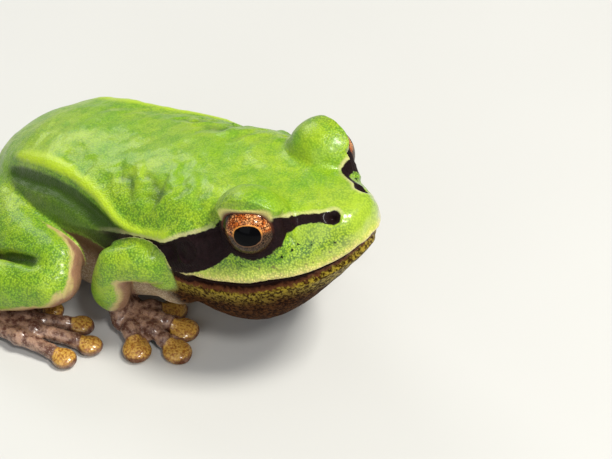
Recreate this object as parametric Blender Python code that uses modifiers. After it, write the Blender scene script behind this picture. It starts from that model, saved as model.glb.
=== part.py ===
"""A European tree frog, life size, sitting low with its head raised and turned a little to its right.

Lengths below are in millimetres, and MM turns them into metres. +X points forward along the body, +Y to
the frog's left, +Z up. The origin lies on the floor, under the flat of the belly.
The trunk and head are modelled whole, and parted at the neck by a thin cut. Each limb is a chain of solids
that meet face to face.
"""

import math

import bmesh
import bpy
import numpy as np
from mathutils import Matrix, Vector

MM = 0.001
GAP = 0.3  # between one solid and the next
RIGHT = -1
LEFT = 1

# Trunk, as stations along X: middle height, half width, height above the middle, depth below it
TRUNK = (
    (-13.0, 3.6, 1.2, 1.0, 1.2),
    (-12.2, 3.8, 2.9, 2.5, 2.5),
    (-11.0, 4.0, 4.2, 3.8, 3.3),
    (-9.0, 4.4, 5.5, 4.9, 4.2),
    (-6.0, 5.0, 6.6, 5.6, 5.2),
    (-2.5, 5.7, 7.2, 5.8, 6.1),
    (1.0, 6.6, 7.4, 5.8, 6.9),
    (4.5, 7.9, 7.3, 5.6, 6.6),
    (8.0, 9.2, 6.9, 4.9, 6.0),
    (11.0, 10.4, 5.8, 3.8, 5.0),
)
TRUNK_SQUARENESS = 2.35  # exponent of the superellipse of each cross-section

# Head, in its own frame: x = 0 at the front of the mouth, z = 0 on the mouth line, neck at x = -HEAD_LENGTH
HEAD_LENGTH = 13.0
HEAD_PITCH = math.radians(14)
HEAD_YAW = math.radians(3.5)
NECK = Vector((8.3, 0.0, 9.6))
# Each station: distance back from the snout tip, top height, then (half width, height) of the canthus,
# cheek, upper lip, jaw and throat, and the height of the chin
HEAD = (
    (0.0, 2.05, (0.70, 1.95), (1.00, 1.50), (0.80, 0.95), (0.55, 0.68), (0.35, 0.55), 0.50),
    (0.35, 2.75, (1.20, 2.50), (1.65, 1.80), (1.35, 0.70), (1.05, 0.20), (0.70, -0.05), -0.15),
    (1.0, 3.20, (1.50, 2.95), (2.28, 2.00), (2.30, 0.35), (1.95, -0.35), (1.25, -0.85), -1.05),
    (1.9, 3.45, (1.85, 3.20), (2.80, 2.10), (3.40, 0.10), (3.10, -0.80), (2.05, -1.60), -1.90),
    (3.2, 3.60, (2.35, 3.35), (3.40, 2.15), (4.65, -0.10), (4.35, -1.10), (3.00, -2.60), -3.05),
    (4.8, 3.75, (3.00, 3.50), (4.20, 2.10), (5.70, -0.20), (5.40, -1.40), (3.95, -3.75), -4.35),
    (6.6, 3.95, (3.80, 3.70), (5.10, 2.10), (6.55, -0.30), (6.35, -1.65), (4.75, -4.75), -5.45),
    (9.0, 4.20, (4.30, 3.90), (6.00, 2.30), (7.10, -0.25), (6.95, -1.85), (5.30, -5.05), -5.95),
    (11.5, 4.40, (4.70, 4.00), (6.60, 2.40), (7.25, -0.15), (7.05, -2.00), (5.40, -4.70), -5.50),
    (14.5, 4.40, (4.90, 3.90), (6.40, 2.20), (6.80, -0.20), (6.50, -2.05), (5.00, -4.20), -4.90),
)
LIP_GROOVE_DROP = 0.35  # the line of the mouth lies this far below the upper lip
LIP_GROOVE_WIDTH = 0.4
LIP_GROOVE_DEPTH = 0.7
LIP_GROOVE_CLEAR = 1.2  # how far the band that cuts the groove reaches outside the lips
MOUTH_CORNER = 11.2  # distance back from the snout tip

EYE_RADIUS = 2.05
EYE_CENTRE = Vector((-6.45, 4.5, 3.1))  # of the left eye, in the head's frame
EYE_FORWARD = math.radians(15)
LID_THICKNESS = 0.35
LID_DOME_STRETCH = (1.1, 1.0, 0.93)  # along the head, across it and upwards
LID_HALF_WIDTH = 2.0  # of the almond between the lids, along the head
LID_HALF_HEIGHT = 1.6
LID_PLANE = 1.15  # the almond is measured this far out from the eye's centre
LID_CUT_REACH = 5.0  # from the eye's centre
NOSTRIL = Vector((-1.6, 1.75, 3.0))
NOSTRIL_RADII = (0.48, 0.40, 0.42)
TYMPANUM = Vector((-11.0, 6.85, 1.4))
TYMPANUM_RADIUS = 0.9
TYMPANUM_RIM = 0.27
TYMPANUM_LEAN = 12  # degrees
SHOULDER_MASS = Vector((7.6, 5.0, 7.6))
SHOULDER_RADII = (3.0, 2.2, 3.4)

# Limbs, as stations: centre with y counted outwards, half width across, half depth
LIMBS = {
    RIGHT: {
        "upper_arm": (
            ((8.2, 5.0, 8.0), 1.8, 2.0),
            ((6.5, 7.2, 8.6), 1.45, 1.55),
            ((4.7, 8.2, 8.2), 1.25, 1.3),
        ),
        "forearm": (
            ((4.6, 8.4, 7.7), 1.25, 1.25),
            ((4.1, 8.1, 5.3), 1.4, 1.5),
            ((3.0, 6.6, 2.6), 1.0, 1.0),
        ),
        "palm": (
            ((2.9, 6.5, 2.3), 1.0, 0.9),
            ((3.2, 6.2, 1.5), 1.5, 0.9),
            ((4.0, 6.1, 0.95), 1.7, 0.65),
        ),
        "thigh": (
            ((-9.6, 3.2, 4.0), 2.5, 2.6),
            ((-4.6, 7.6, 4.6), 2.7, 2.8),
            ((-0.3, 8.9, 6.0), 1.9, 2.0),
        ),
        "shank": (
            ((0.3, 10.6, 5.3), 1.65, 1.7),
            ((-3.6, 11.7, 3.9), 1.9, 2.0),
            ((-12.4, 11.2, 2.1), 1.2, 1.3),
        ),
        "ankle": (
            ((-12.4, 12.2, 1.5), 1.2, 1.25),
            ((-9.4, 13.6, 1.3), 1.1, 1.1),
            ((-6.4, 13.9, 1.15), 1.2, 0.95),
        ),
        "sole": (
            ((-6.3, 13.9, 1.1), 1.2, 0.9),
            ((-4.9, 13.5, 0.95), 1.6, 0.8),
            ((-3.5, 12.9, 0.8), 1.6, 0.65),
        ),
    },
    LEFT: {
        "upper_arm": (
            ((8.2, 5.0, 8.0), 1.8, 2.0),
            ((6.0, 7.3, 7.8), 1.45, 1.55),
            ((3.8, 8.6, 6.8), 1.25, 1.3),
        ),
        "forearm": (
            ((3.6, 8.9, 6.0), 1.25, 1.25),
            ((3.9, 8.9, 4.2), 1.4, 1.5),
            ((4.7, 8.3, 2.2), 1.0, 1.0),
        ),
        "palm": (
            ((4.7, 8.3, 1.9), 1.0, 0.9),
            ((5.4, 8.4, 1.35), 1.6, 0.85),
            ((6.4, 8.6, 0.95), 1.7, 0.65),
        ),
        "thigh": (
            ((-9.6, 3.2, 3.9), 2.5, 2.6),
            ((-4.8, 7.0, 4.0), 2.7, 2.7),
            ((-0.9, 7.9, 3.9), 1.9, 1.9),
        ),
        "shank": (
            ((-0.6, 9.0, 2.9), 1.7, 1.8),
            ((-4.2, 9.3, 2.6), 1.9, 2.0),
            ((-11.6, 8.4, 1.8), 1.15, 1.2),
        ),
        "ankle": (
            ((-11.6, 9.6, 1.4), 1.15, 1.2),
            ((-8.8, 11.0, 1.25), 1.05, 1.05),
            ((-5.9, 11.9, 1.1), 1.15, 0.9),
        ),
        "sole": (
            ((-5.8, 11.9, 1.05), 1.15, 0.85),
            ((-4.4, 12.0, 0.95), 1.55, 0.78),
            ((-2.8, 11.9, 0.8), 1.55, 0.65),
        ),
    },
}

# Digits, inner first: length from the palm's or sole's root, and degrees outwards from straight ahead
PALM_ROOT = {RIGHT: Vector((3.3, 6.1, 1.0)), LEFT: Vector((5.6, 8.4, 1.0))}
FINGERS = {
    RIGHT: ((3.6, -48), (4.7, -20), (5.5, 4), (3.7, 34)),
    LEFT: ((3.8, -30), (4.8, -2), (5.7, 24), (4.6, 56)),
}
SOLE_ROOT = {RIGHT: Vector((-5.6, 13.7, 1.0)), LEFT: Vector((-5.0, 12.0, 1.0))}
TOES = {
    RIGHT: ((4.4, -66), (6.4, -48), (8.6, -35), (9.7, -23), (8.5, -11)),
    LEFT: ((4.4, -50), (6.4, -32), (8.6, -18), (10.0, -6), (8.8, 7)),
}
DIGIT_RADIUS = 0.56
DIGIT_START_HEIGHT = 0.9
DIGIT_ARCH = 0.15
KNUCKLE_PLACE = 0.55  # share of the digit's length
KNUCKLE_RADIUS = 0.72
FINGER_DISC = (1.2, 1.1, 0.62)
TOE_DISC = (1.0, 0.92, 0.55)
DISC_HEIGHT = 0.48
WEB_REACH = (0.5, 0.6, 0.62, 0.62)  # share of the shorter toe's length that each web spans
WEB_DIP = 0.3
WEB_THICKNESS = 0.5
WEB_HEIGHT = 0.8
WEB_START = 0.15  # share of its span

FAR = 60  # clears the whole animal
TRUNK_RINGS = 30
TRUNK_SIDES = 36
HEAD_RINGS = 26
HEAD_SIDES = 40
CAP_ANGLES = (15, 40, 65)  # degrees, of the rings that round a limb's ends
VOXEL = 0.4
WELD = 0.003  # corners closer than this become one
BODY_FACES = 4800  # triangles of the trunk and the head together, before they are cut
HAND_FACES = 1000
FOOT_FACES = 1250
LIMB_FACES = {"upper_arm": 300, "forearm": 320, "thigh": 520, "shank": 420, "ankle": 280}


def smooth_rows(rows, knots, places):
    """Rows of numbers at the knots, read as one smooth curve at the places."""
    rows, knots = np.array(rows, float), np.array(knots, float)
    steps = np.diff(rows, axis=0) / np.diff(knots)[:, None]
    spans = np.diff(knots)[:, None]
    inner = (steps[:-1] * spans[1:] + steps[1:] * spans[:-1]) / (spans[:-1] + spans[1:])
    slopes = np.vstack([steps[:1], inner, steps[-1:]])
    made = []
    for place in places:
        k = int(np.clip(np.searchsorted(knots, place) - 1, 0, len(knots) - 2))
        width = knots[k + 1] - knots[k]
        t = (place - knots[k]) / width
        made.append(
            (2 * t**3 - 3 * t**2 + 1) * rows[k]
            + (t**3 - 2 * t**2 + t) * width * slopes[k]
            + (3 * t**2 - 2 * t**3) * rows[k + 1]
            + (t**3 - t**2) * width * slopes[k + 1]
        )
    return np.array(made)


def spaced(rows, count):
    """Rows that start with x, y, z, read at count places spread evenly along their curve."""
    rows = np.array(rows, float)
    knots = np.concatenate([[0], np.cumsum(np.linalg.norm(np.diff(rows[:, :3], axis=0), axis=1))])
    return smooth_rows(rows, knots, np.linspace(0, knots[-1], count))


def mesh_object(name, mesh):
    obj = bpy.data.objects.new(name, mesh)
    bpy.context.scene.collection.objects.link(obj)
    return obj


def loft(name, rings):
    """A closed solid through rings of points in millimetres, all with as many points."""
    work = bmesh.new()
    loops = [[work.verts.new(Vector(point) * MM) for point in ring] for ring in rings]
    for low, high in zip(loops, loops[1:]):
        for k in range(len(low)):
            after = (k + 1) % len(low)
            work.faces.new((low[k], low[after], high[after], high[k]))
    work.faces.new(list(reversed(loops[0])))
    work.faces.new(loops[-1])
    bmesh.ops.recalc_face_normals(work, faces=work.faces)
    mesh = bpy.data.meshes.new(name)
    work.to_mesh(mesh)
    work.free()
    return mesh_object(name, mesh)


def limb(name, stations, sides=16, rings=9, extra=0.0):
    """A round-ended solid along the stations, each a centre, a half width and a half depth."""
    rows = spaced([(*centre, across + extra, deep + extra) for centre, across, deep in stations], rings)
    centres = [Vector(row[:3]) for row in rows]
    run = (centres[-1] - centres[0]).normalized()
    upward = Vector((1, 0, 0)) if abs(run.z) > 0.8 else Vector((0, 0, 1))
    sections = []
    for k, row in enumerate(rows):
        ahead = (centres[min(k + 1, rings - 1)] - centres[max(k - 1, 0)]).normalized()
        side = ahead.cross(upward).normalized()
        sections.append((centres[k], ahead, side, side.cross(ahead), row[3], row[4]))
    cap_angles = [math.radians(angle) for angle in CAP_ANGLES]
    placed = [(sections[0], math.sin(a), -math.cos(a)) for a in cap_angles]
    placed += [(section, 1, 0) for section in sections]
    placed += [(sections[-1], math.sin(a), math.cos(a)) for a in reversed(cap_angles)]
    made = []
    for (centre, ahead, side, over, across, deep), share, beyond in placed:
        middle = centre + ahead * beyond * min(across, deep)
        turns = [2 * math.pi * k / sides for k in range(sides)]
        made.append(
            [
                middle + side * across * share * math.cos(t) + over * deep * share * math.sin(t)
                for t in turns
            ]
        )
    return loft(name, made)


def ellipsoid(name, centre, radii, turn=Matrix.Identity(4), segments=20, rings=12):
    bpy.ops.mesh.primitive_uv_sphere_add(segments=segments, ring_count=rings, radius=MM)
    obj = bpy.context.active_object
    obj.name = name
    obj.data.transform(Matrix.Translation(Vector(centre) * MM) @ turn @ Matrix.Diagonal((*radii, 1)))
    return obj


def head_frame():
    """Matrix that carries the head's own frame, in millimetres, into the body's."""
    turn = Matrix.Rotation(HEAD_YAW, 4, "Z") @ Matrix.Rotation(-HEAD_PITCH, 4, "Y")
    return Matrix.Translation(NECK) @ turn @ Matrix.Translation((HEAD_LENGTH, 0, 0))


def in_head(obj):
    """Moves an object that was made in the head's frame to where the head is."""
    matrix = head_frame()
    matrix.translation = matrix.translation * MM
    obj.data.transform(matrix)
    return obj


def remove(obj):
    mesh = obj.data
    bpy.data.objects.remove(obj)
    bpy.data.meshes.remove(mesh)


def evaluated_faces(obj):
    """How many faces an object has with its modifiers; the EXACT solver now and then leaves none."""
    graph = bpy.context.evaluated_depsgraph_get()
    return len(obj.evaluated_get(graph).data.polygons)


def keep_result(obj):
    """Applies an object's modifiers, and keeps the largest closed surface of what they leave."""
    graph = bpy.context.evaluated_depsgraph_get()
    made = bpy.data.meshes.new_from_object(obj.evaluated_get(graph))
    obj.modifiers.clear()
    obj.data = made
    work = bmesh.new()
    work.from_mesh(made)
    left, shells = set(work.verts), []
    while left:
        reached = [left.pop()]
        for vert in reached:
            found = {edge.other_vert(vert) for edge in vert.link_edges} & left
            left -= found
            reached += found
        shells.append(reached)
    shells.sort(key=len)
    bmesh.ops.delete(work, geom=[vert for shell in shells[:-1] for vert in shell], context="VERTS")
    work.to_mesh(made)
    work.free()
    return obj


def boolean(obj, operation, others):
    """Joins other closed meshes to an object or cuts them from it, and removes them."""
    group = bpy.data.collections.new("tools")
    for other in others:
        group.objects.link(other)
    modifier = obj.modifiers.new(operation, "BOOLEAN")
    modifier.operation = operation
    modifier.operand_type = "COLLECTION"
    modifier.collection = group
    modifier.solver = "EXACT"
    if not evaluated_faces(obj):
        modifier.solver = "MANIFOLD"
    keep_result(obj)
    for other in others:
        remove(other)
    bpy.data.collections.remove(group)
    return obj


def fuse(name, pieces):
    obj = boolean(pieces[0], "UNION", pieces[1:])
    obj.name = name
    return obj


def grown(obj, distance):
    """A copy of a solid whose surface lies the distance in millimetres further out."""
    copy = mesh_object("grown", obj.data.copy())
    for vert, normal in zip(copy.data.vertices, [v.normal.copy() for v in obj.data.vertices]):
        vert.co += normal * distance * MM
    return copy


def clear_of(obj, envelopes):
    """Cuts an object back to the envelopes of its neighbours, so that it meets them across the gap."""
    for envelope in envelopes:
        boolean(obj, "DIFFERENCE", [mesh_object("cut", envelope.data.copy())])
    return obj


def block(low, high):
    """A box between two corners in millimetres."""
    bpy.ops.mesh.primitive_cube_add(size=1)
    obj = bpy.context.active_object
    low, high = Vector(low), Vector(high)
    size = high - low
    obj.data.transform(Matrix.Translation((low + high) * 0.5 * MM) @ Matrix.Diagonal((*(size * MM), 1)))
    return obj


def levelled(obj):
    """Presses what would lie under the floor flat onto it."""
    return boolean(obj, "DIFFERENCE", [block((-FAR, -FAR, -FAR), (FAR, FAR, 0))])


def welded(obj):
    """Closes the slivers that cuts leave where two edges all but meet."""
    work = bmesh.new()
    work.from_mesh(obj.data)
    bmesh.ops.triangulate(work, faces=work.faces)
    bmesh.ops.remove_doubles(work, verts=work.verts, dist=WELD * MM)
    open_edges = [edge for edge in work.edges if len(edge.link_faces) == 1]
    bmesh.ops.holes_fill(work, edges=open_edges)
    bmesh.ops.triangulate(work, faces=work.faces)
    work.to_mesh(obj.data)
    work.free()
    return obj


def thinned(obj, faces):
    """Fewer, larger triangles where the surface is plain."""
    triangles = sum(len(face.vertices) - 2 for face in obj.data.polygons)
    if triangles > faces:
        modifier = obj.modifiers.new("thin", "DECIMATE")
        modifier.ratio = faces / triangles
        keep_result(obj)
    return obj


def softened(obj, rounds=4):
    """One even skin over fused pieces, with their creases eased."""
    remesh = obj.modifiers.new("skin", "REMESH")
    remesh.mode = "VOXEL"
    remesh.voxel_size = VOXEL * MM
    smooth = obj.modifiers.new("ease", "SMOOTH")
    smooth.factor = 0.5
    smooth.iterations = rounds
    return keep_result(obj)


def trunk_solid():
    """The body from the vent to inside the head, as superellipse sections."""
    places = np.linspace(TRUNK[0][0], TRUNK[-1][0], TRUNK_RINGS)
    rows = smooth_rows([row[1:] for row in TRUNK], [row[0] for row in TRUNK], places)
    power = 2 / TRUNK_SQUARENESS
    rings = []
    for x, (middle, width, above, below) in zip(places, rows):
        ring = []
        for k in range(TRUNK_SIDES):
            turn = 2 * math.pi * k / TRUNK_SIDES
            side, rise = math.cos(turn), math.sin(turn)
            y = width * math.copysign(abs(side) ** power, side)
            z = (above if rise > 0 else below) * math.copysign(abs(rise) ** power, rise)
            ring.append((x, y, middle + z))
        rings.append(ring)
    return loft("trunk", rings)


def head_rows(places):
    """Head stations read as smooth numbers at distances back from the snout tip."""
    rows = [[top, *np.ravel(pairs), chin] for _, top, *pairs, chin in HEAD]
    return smooth_rows(rows, [row[0] for row in HEAD], places)


def head_solid():
    """Skull and jaw as one solid, its sections running from the crown over the lip to the chin."""
    places = np.linspace(0, 1, HEAD_RINGS) ** 1.5 * HEAD[-1][0]
    rings = []
    for back, row in zip(places, head_rows(places)):
        half = [(0, row[0])] + [tuple(row[k : k + 2]) for k in (1, 3, 5, 7, 9)] + [(0, row[11])]
        around = half + [(-y, z) for y, z in half[-2:0:-1]]
        looped = around[-2:] + around + around[:3]
        even = spaced_loop(looped, HEAD_SIDES)
        rings.append([(-back, y, z) for y, z in even])
    return in_head(loft("skull", rings))


def spaced_loop(points, count):
    """Count points spread evenly on the closed curve whose points overlap by two before and three after."""
    flat = np.array(points, float)
    knots = np.concatenate([[0], np.cumsum(np.linalg.norm(np.diff(flat, axis=0), axis=1))])
    start, end = knots[2], knots[-3]
    return smooth_rows(flat, knots, np.linspace(start, end, count, endpoint=False))


def eye_axis(side):
    """Direction in which an eye looks, in the head's frame."""
    return Vector((math.sin(EYE_FORWARD), side * math.cos(EYE_FORWARD), 0))


def on_side(point, side):
    return Vector((point[0], point[1] * side, point[2]))


def lid_dome(side):
    radii = [(EYE_RADIUS + GAP + LID_THICKNESS) * stretch for stretch in LID_DOME_STRETCH]
    return in_head(ellipsoid("lid_dome", on_side(EYE_CENTRE, side), radii))


def tympanum(side):
    bpy.ops.mesh.primitive_torus_add(
        major_radius=TYMPANUM_RADIUS * MM,
        minor_radius=TYMPANUM_RIM * MM,
        major_segments=20,
        minor_segments=8,
    )
    ring = bpy.context.active_object
    turn = Matrix.Rotation(math.radians(90 + TYMPANUM_LEAN * side), 4, "X")
    ring.data.transform(Matrix.Translation(on_side(TYMPANUM, side) * MM) @ turn)
    return in_head(ring)


def eye_opening(side):
    """What is cut from the lids, so that the eyeball stands out beyond their rim."""
    spread = LID_CUT_REACH / LID_PLANE
    bpy.ops.mesh.primitive_cone_add(vertices=24, radius1=0, radius2=spread * MM, depth=LID_CUT_REACH * MM)
    cone = bpy.context.active_object
    cone.data.transform(Matrix.Translation((0, 0, LID_CUT_REACH / 2 * MM)))
    turn = eye_axis(side).to_track_quat("Z", "Y").to_matrix().to_4x4()
    almond = Matrix.Diagonal((LID_HALF_WIDTH, LID_HALF_HEIGHT, 1, 1))
    cone.data.transform(Matrix.Translation(on_side(EYE_CENTRE, side) * MM) @ turn @ almond)
    return in_head(cone)


def eye_socket(side):
    radius = EYE_RADIUS + GAP
    return in_head(ellipsoid("socket", on_side(EYE_CENTRE, side), (radius,) * 3, segments=24, rings=14))


def nostril_cutter(side):
    return in_head(ellipsoid("nostril", on_side(NOSTRIL, side), NOSTRIL_RADII, segments=10, rings=6))


def mouth_cutter():
    """A thin band that follows the edge of the lip from one corner of the mouth to the other."""
    back = np.linspace(0, 1, 14) ** 1.6 * (MOUTH_CORNER - 0.25) + 0.25
    rows = head_rows(back)
    left = [Vector((-s, row[5], row[6] - LIP_GROOVE_DROP)) for s, row in zip(back, rows)]
    path = [on_side(point, RIGHT) for point in reversed(left)] + left
    rings = []
    for k, point in enumerate(path):
        ahead = path[min(k + 1, len(path) - 1)] - path[max(k - 1, 0)]
        outward = Vector((ahead.y, -ahead.x, 0)).normalized()
        from_corner = min(k, len(path) - 1 - k) / 4
        inner = point - outward * LIP_GROOVE_DEPTH * min(1, 0.3 + from_corner)
        outer = point + outward * LIP_GROOVE_CLEAR
        half = Vector((0, 0, LIP_GROOVE_WIDTH / 2 * min(1, 0.5 + from_corner)))
        rings.append([inner - half, inner + half, outer + half, outer - half])
    return in_head(loft("mouth", rings))


def beyond_neck(ahead):
    """A block that covers all that lies ahead of the cut through the neck, or else all behind it."""
    if ahead:
        cover = block((-GAP / 2, -FAR, -FAR), (FAR, FAR, FAR))
    else:
        cover = block((-FAR, -FAR, -FAR), (GAP / 2, FAR, FAR))
    turn = Matrix.Rotation(HEAD_YAW / 2, 4, "Z") @ Matrix.Rotation(-HEAD_PITCH / 2, 4, "Y")
    cover.data.transform(Matrix.Translation(NECK * MM) @ turn)
    return cover


def torso_and_head():
    """The trunk and the head, parted at the neck, and their common envelope."""
    masses = [ellipsoid("shoulder", on_side(SHOULDER_MASS, side), SHOULDER_RADII) for side in (RIGHT, LEFT)]
    domes = [lid_dome(side) for side in (RIGHT, LEFT)]
    whole = softened(fuse("whole", [trunk_solid(), head_solid(), *masses, *domes]))
    thinned(whole, BODY_FACES)
    around = grown(whole, GAP)
    head = mesh_object("head", whole.data.copy())
    whole.name = "torso"
    torso = levelled(boolean(whole, "DIFFERENCE", [beyond_neck(ahead=True)]))
    boolean(head, "DIFFERENCE", [beyond_neck(ahead=False)])
    boolean(head, "UNION", [tympanum(side) for side in (RIGHT, LEFT)])
    for side in (RIGHT, LEFT):
        boolean(head, "DIFFERENCE", [eye_opening(side)])
        boolean(head, "DIFFERENCE", [eye_socket(side)])
        boolean(head, "DIFFERENCE", [nostril_cutter(side)])
    boolean(head, "DIFFERENCE", [mouth_cutter()])
    return torso, head, around


def eye(name, side):
    axis = eye_axis(side)
    turn = axis.to_track_quat("Z", "Y").to_matrix().to_4x4()
    ball = ellipsoid(name, on_side(EYE_CENTRE, side), (EYE_RADIUS,) * 3, turn, segments=20, rings=12)
    return in_head(ball)


def mirrored(stations, side):
    return [(on_side(centre, side), across, deep) for centre, across, deep in stations]


def digit(root, length, degrees, side, disc):
    """A finger or toe: a thin arched tube, a knuckle pad, and the flat disc at its tip."""
    angle = math.radians(degrees) * side
    ahead = Vector((math.cos(angle), math.sin(angle), 0))
    start = Vector((root.x, root.y, DIGIT_START_HEIGHT))
    middle = start + ahead * length * KNUCKLE_PLACE + Vector((0, 0, DIGIT_ARCH))
    tip = Vector((root.x, root.y, DISC_HEIGHT + 0.1)) + ahead * length
    stations = (
        (start, DIGIT_RADIUS * 1.25, DIGIT_RADIUS * 1.1),
        (middle, DIGIT_RADIUS, DIGIT_RADIUS),
        (tip, DIGIT_RADIUS * 0.9, DIGIT_RADIUS * 0.8),
    )
    turn = Matrix.Rotation(angle, 4, "Z")
    return [
        limb("digit", stations, sides=8, rings=5),
        ellipsoid("knuckle", middle, (KNUCKLE_RADIUS * 1.2, KNUCKLE_RADIUS, KNUCKLE_RADIUS), turn, 8, 6),
        ellipsoid("disc", (tip.x, tip.y, DISC_HEIGHT), disc, turn, 14, 8),
    ]


def digit_point(root, length, degrees, side, share):
    angle = math.radians(degrees) * side
    return root + Vector((math.cos(angle), math.sin(angle), 0)) * length * share


def web(root, toe, next_toe, reach, side):
    """The membrane between two toes, with a hollow free edge."""
    root = Vector((root.x, root.y, WEB_HEIGHT))
    reach *= min(toe[0], next_toe[0])
    across, along = 6, 5
    work = bmesh.new()
    grid = []
    for i in range(across + 1):
        u = i / across
        span = reach * (1 - WEB_DIP * 4 * u * (1 - u))
        row = []
        for j in range(along + 1):
            share = WEB_START + (1 - WEB_START) * j / along
            a = digit_point(root, span * share, toe[1], side, 1)
            b = digit_point(root, span * share, next_toe[1], side, 1)
            row.append(work.verts.new(a.lerp(b, u) * MM))
        grid.append(row)
    for low, high in zip(grid, grid[1:]):
        for j in range(along):
            work.faces.new((low[j], low[j + 1], high[j + 1], high[j]))
    mesh = bpy.data.meshes.new("web")
    work.to_mesh(mesh)
    work.free()
    sheet = mesh_object("web", mesh)
    thick = sheet.modifiers.new("thick", "SOLIDIFY")
    thick.thickness = WEB_THICKNESS * MM
    thick.offset = 0
    keep_result(sheet)
    work = bmesh.new()
    work.from_mesh(sheet.data)
    bmesh.ops.recalc_face_normals(work, faces=work.faces)
    work.to_mesh(sheet.data)
    work.free()
    return sheet


def paw(name, pad, root, digits, side, disc, webs=()):
    """A hand or foot: its pad, digits and webs as one solid."""
    root = on_side(root[side], side)
    pieces = [limb("pad", mirrored(pad, side), sides=14, rings=6)]
    for length, degrees in digits[side]:
        pieces += digit(root, length, degrees, side, disc)
    for k, reach in enumerate(webs):
        pieces.append(web(root, digits[side][k], digits[side][k + 1], reach, side))
    return fuse(name, pieces)


def limb_and_envelope(name, stations, side):
    """A limb's solid, and the same shape a gap further out, which clears its neighbours."""
    placed = mirrored(stations, side)
    return limb(name, placed, rings=12), limb(f"around_{name}", placed, rings=12, extra=GAP)


def limbs(side, word, body):
    """The foreleg and hind leg of one side, each node cut clear of those that were made before it."""
    form = LIMBS[side]
    solids, around = {}, {}
    for part in ("upper_arm", "forearm", "thigh", "shank", "ankle"):
        solids[part], around[part] = limb_and_envelope(f"{part}_{word}", form[part], side)
    hand = paw(f"hand_{word}", form["palm"], PALM_ROOT, FINGERS, side, FINGER_DISC)
    foot = paw(f"foot_{word}", form["sole"], SOLE_ROOT, TOES, side, TOE_DISC, WEB_REACH)
    solids["hand"] = levelled(thinned(hand, HAND_FACES))
    solids["foot"] = levelled(thinned(foot, FOOT_FACES))
    clearances = {
        "upper_arm": (),
        "forearm": ("upper_arm",),
        "hand": ("forearm",),
        "thigh": ("upper_arm", "forearm"),
        "shank": ("upper_arm", "forearm", "thigh"),
        "ankle": ("thigh", "shank"),
        "foot": ("ankle", "shank", "thigh"),
    }
    for part, neighbours in clearances.items():
        clear_of(solids[part], [body] + [around[near] for near in neighbours])
        thinned(solids[part], LIMB_FACES.get(part, FOOT_FACES))
    for envelope in around.values():
        remove(envelope)
    levelled(solids["shank"])
    levelled(solids["ankle"])
    return list(solids.values())


def material(name, colour, roughness):
    made = bpy.data.materials.new(name)
    made.use_nodes = True
    shader = made.node_tree.nodes["Principled BSDF"]
    shader.inputs["Base Color"].default_value = (*colour, 1)
    shader.inputs["Roughness"].default_value = roughness
    return made


def main():
    for obj in list(bpy.data.objects):
        bpy.data.objects.remove(obj)
    green = material("green_skin", (0.22, 0.42, 0.03), 0.4)
    iris = material("eye", (0.25, 0.12, 0.03), 0.1)
    torso, head, around_body = torso_and_head()
    flesh = [torso, head]
    for side, word in ((RIGHT, "right"), (LEFT, "left")):
        flesh += limbs(side, word, around_body)
        eye(f"eye_{word}", side).data.materials.append(iris)
    remove(around_body)
    for obj in flesh:
        welded(obj)
        obj.data.materials.clear()
        obj.data.materials.append(green)
    frog = bpy.data.collections.new("tree_frog")
    bpy.context.scene.collection.children.link(frog)
    for obj in list(bpy.context.scene.collection.objects):
        bpy.context.scene.collection.objects.unlink(obj)
        frog.objects.link(obj)


main()
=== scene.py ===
"""A European tree frog, life size, as a museum shows one: its skin, eyes and looks around the solids.

Sizes named below are in millimetres in the frame of the solids, and MM turns them into metres. The animal
sits along +X, with its left side at +Y, on a floor at z = 0.
"""

import math
from types import SimpleNamespace

import bmesh
import bpy
import numpy as np
from mathutils import Matrix, Vector


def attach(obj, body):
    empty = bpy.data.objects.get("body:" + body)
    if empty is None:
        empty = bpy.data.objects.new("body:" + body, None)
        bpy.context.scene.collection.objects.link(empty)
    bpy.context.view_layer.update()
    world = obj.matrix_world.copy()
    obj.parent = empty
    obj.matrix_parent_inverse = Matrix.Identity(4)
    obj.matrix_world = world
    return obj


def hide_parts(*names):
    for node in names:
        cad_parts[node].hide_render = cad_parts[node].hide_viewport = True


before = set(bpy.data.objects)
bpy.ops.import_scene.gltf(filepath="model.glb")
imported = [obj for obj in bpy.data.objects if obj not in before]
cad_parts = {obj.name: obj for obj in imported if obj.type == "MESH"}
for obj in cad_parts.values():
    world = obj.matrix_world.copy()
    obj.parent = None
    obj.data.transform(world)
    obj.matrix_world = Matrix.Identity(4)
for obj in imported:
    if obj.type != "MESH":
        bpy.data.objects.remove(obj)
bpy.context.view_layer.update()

MM = 0.001
RIGHT = -1
LEFT = 1
SIDES = {RIGHT: "right", LEFT: "left"}

# Trunk, as stations along X: middle height, half width, height above the middle, depth below it
TRUNK = (
    (-13.4, 3.55, 0.25, 0.2, 0.25),
    (-13.0, 3.6, 1.2, 1.0, 1.2),
    (-12.2, 3.8, 2.9, 2.5, 2.5),
    (-11.0, 4.0, 4.2, 3.8, 3.3),
    (-9.0, 4.4, 5.5, 4.9, 4.2),
    (-6.0, 5.0, 6.6, 5.6, 5.2),
    (-2.5, 5.7, 7.2, 5.8, 6.1),
    (1.0, 6.6, 7.4, 5.8, 6.9),
    (4.5, 7.9, 7.3, 5.6, 6.6),
    (8.0, 9.2, 6.9, 4.9, 6.0),
    (11.0, 10.4, 5.8, 3.8, 5.0),
)
TRUNK_SQUARENESS = 2.35
TRUNK_RINGS = 70
RING_POINTS = 96  # in each ring of the trunk and the head

# Head, in its own frame: x = 0 at the front of the mouth, z = 0 on the mouth line, neck at x = -HEAD_LENGTH
HEAD_LENGTH = 13.0
HEAD_PITCH = math.radians(14)
HEAD_YAW = math.radians(3.5)
NECK = Vector((8.3, 0.0, 9.6))
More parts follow.
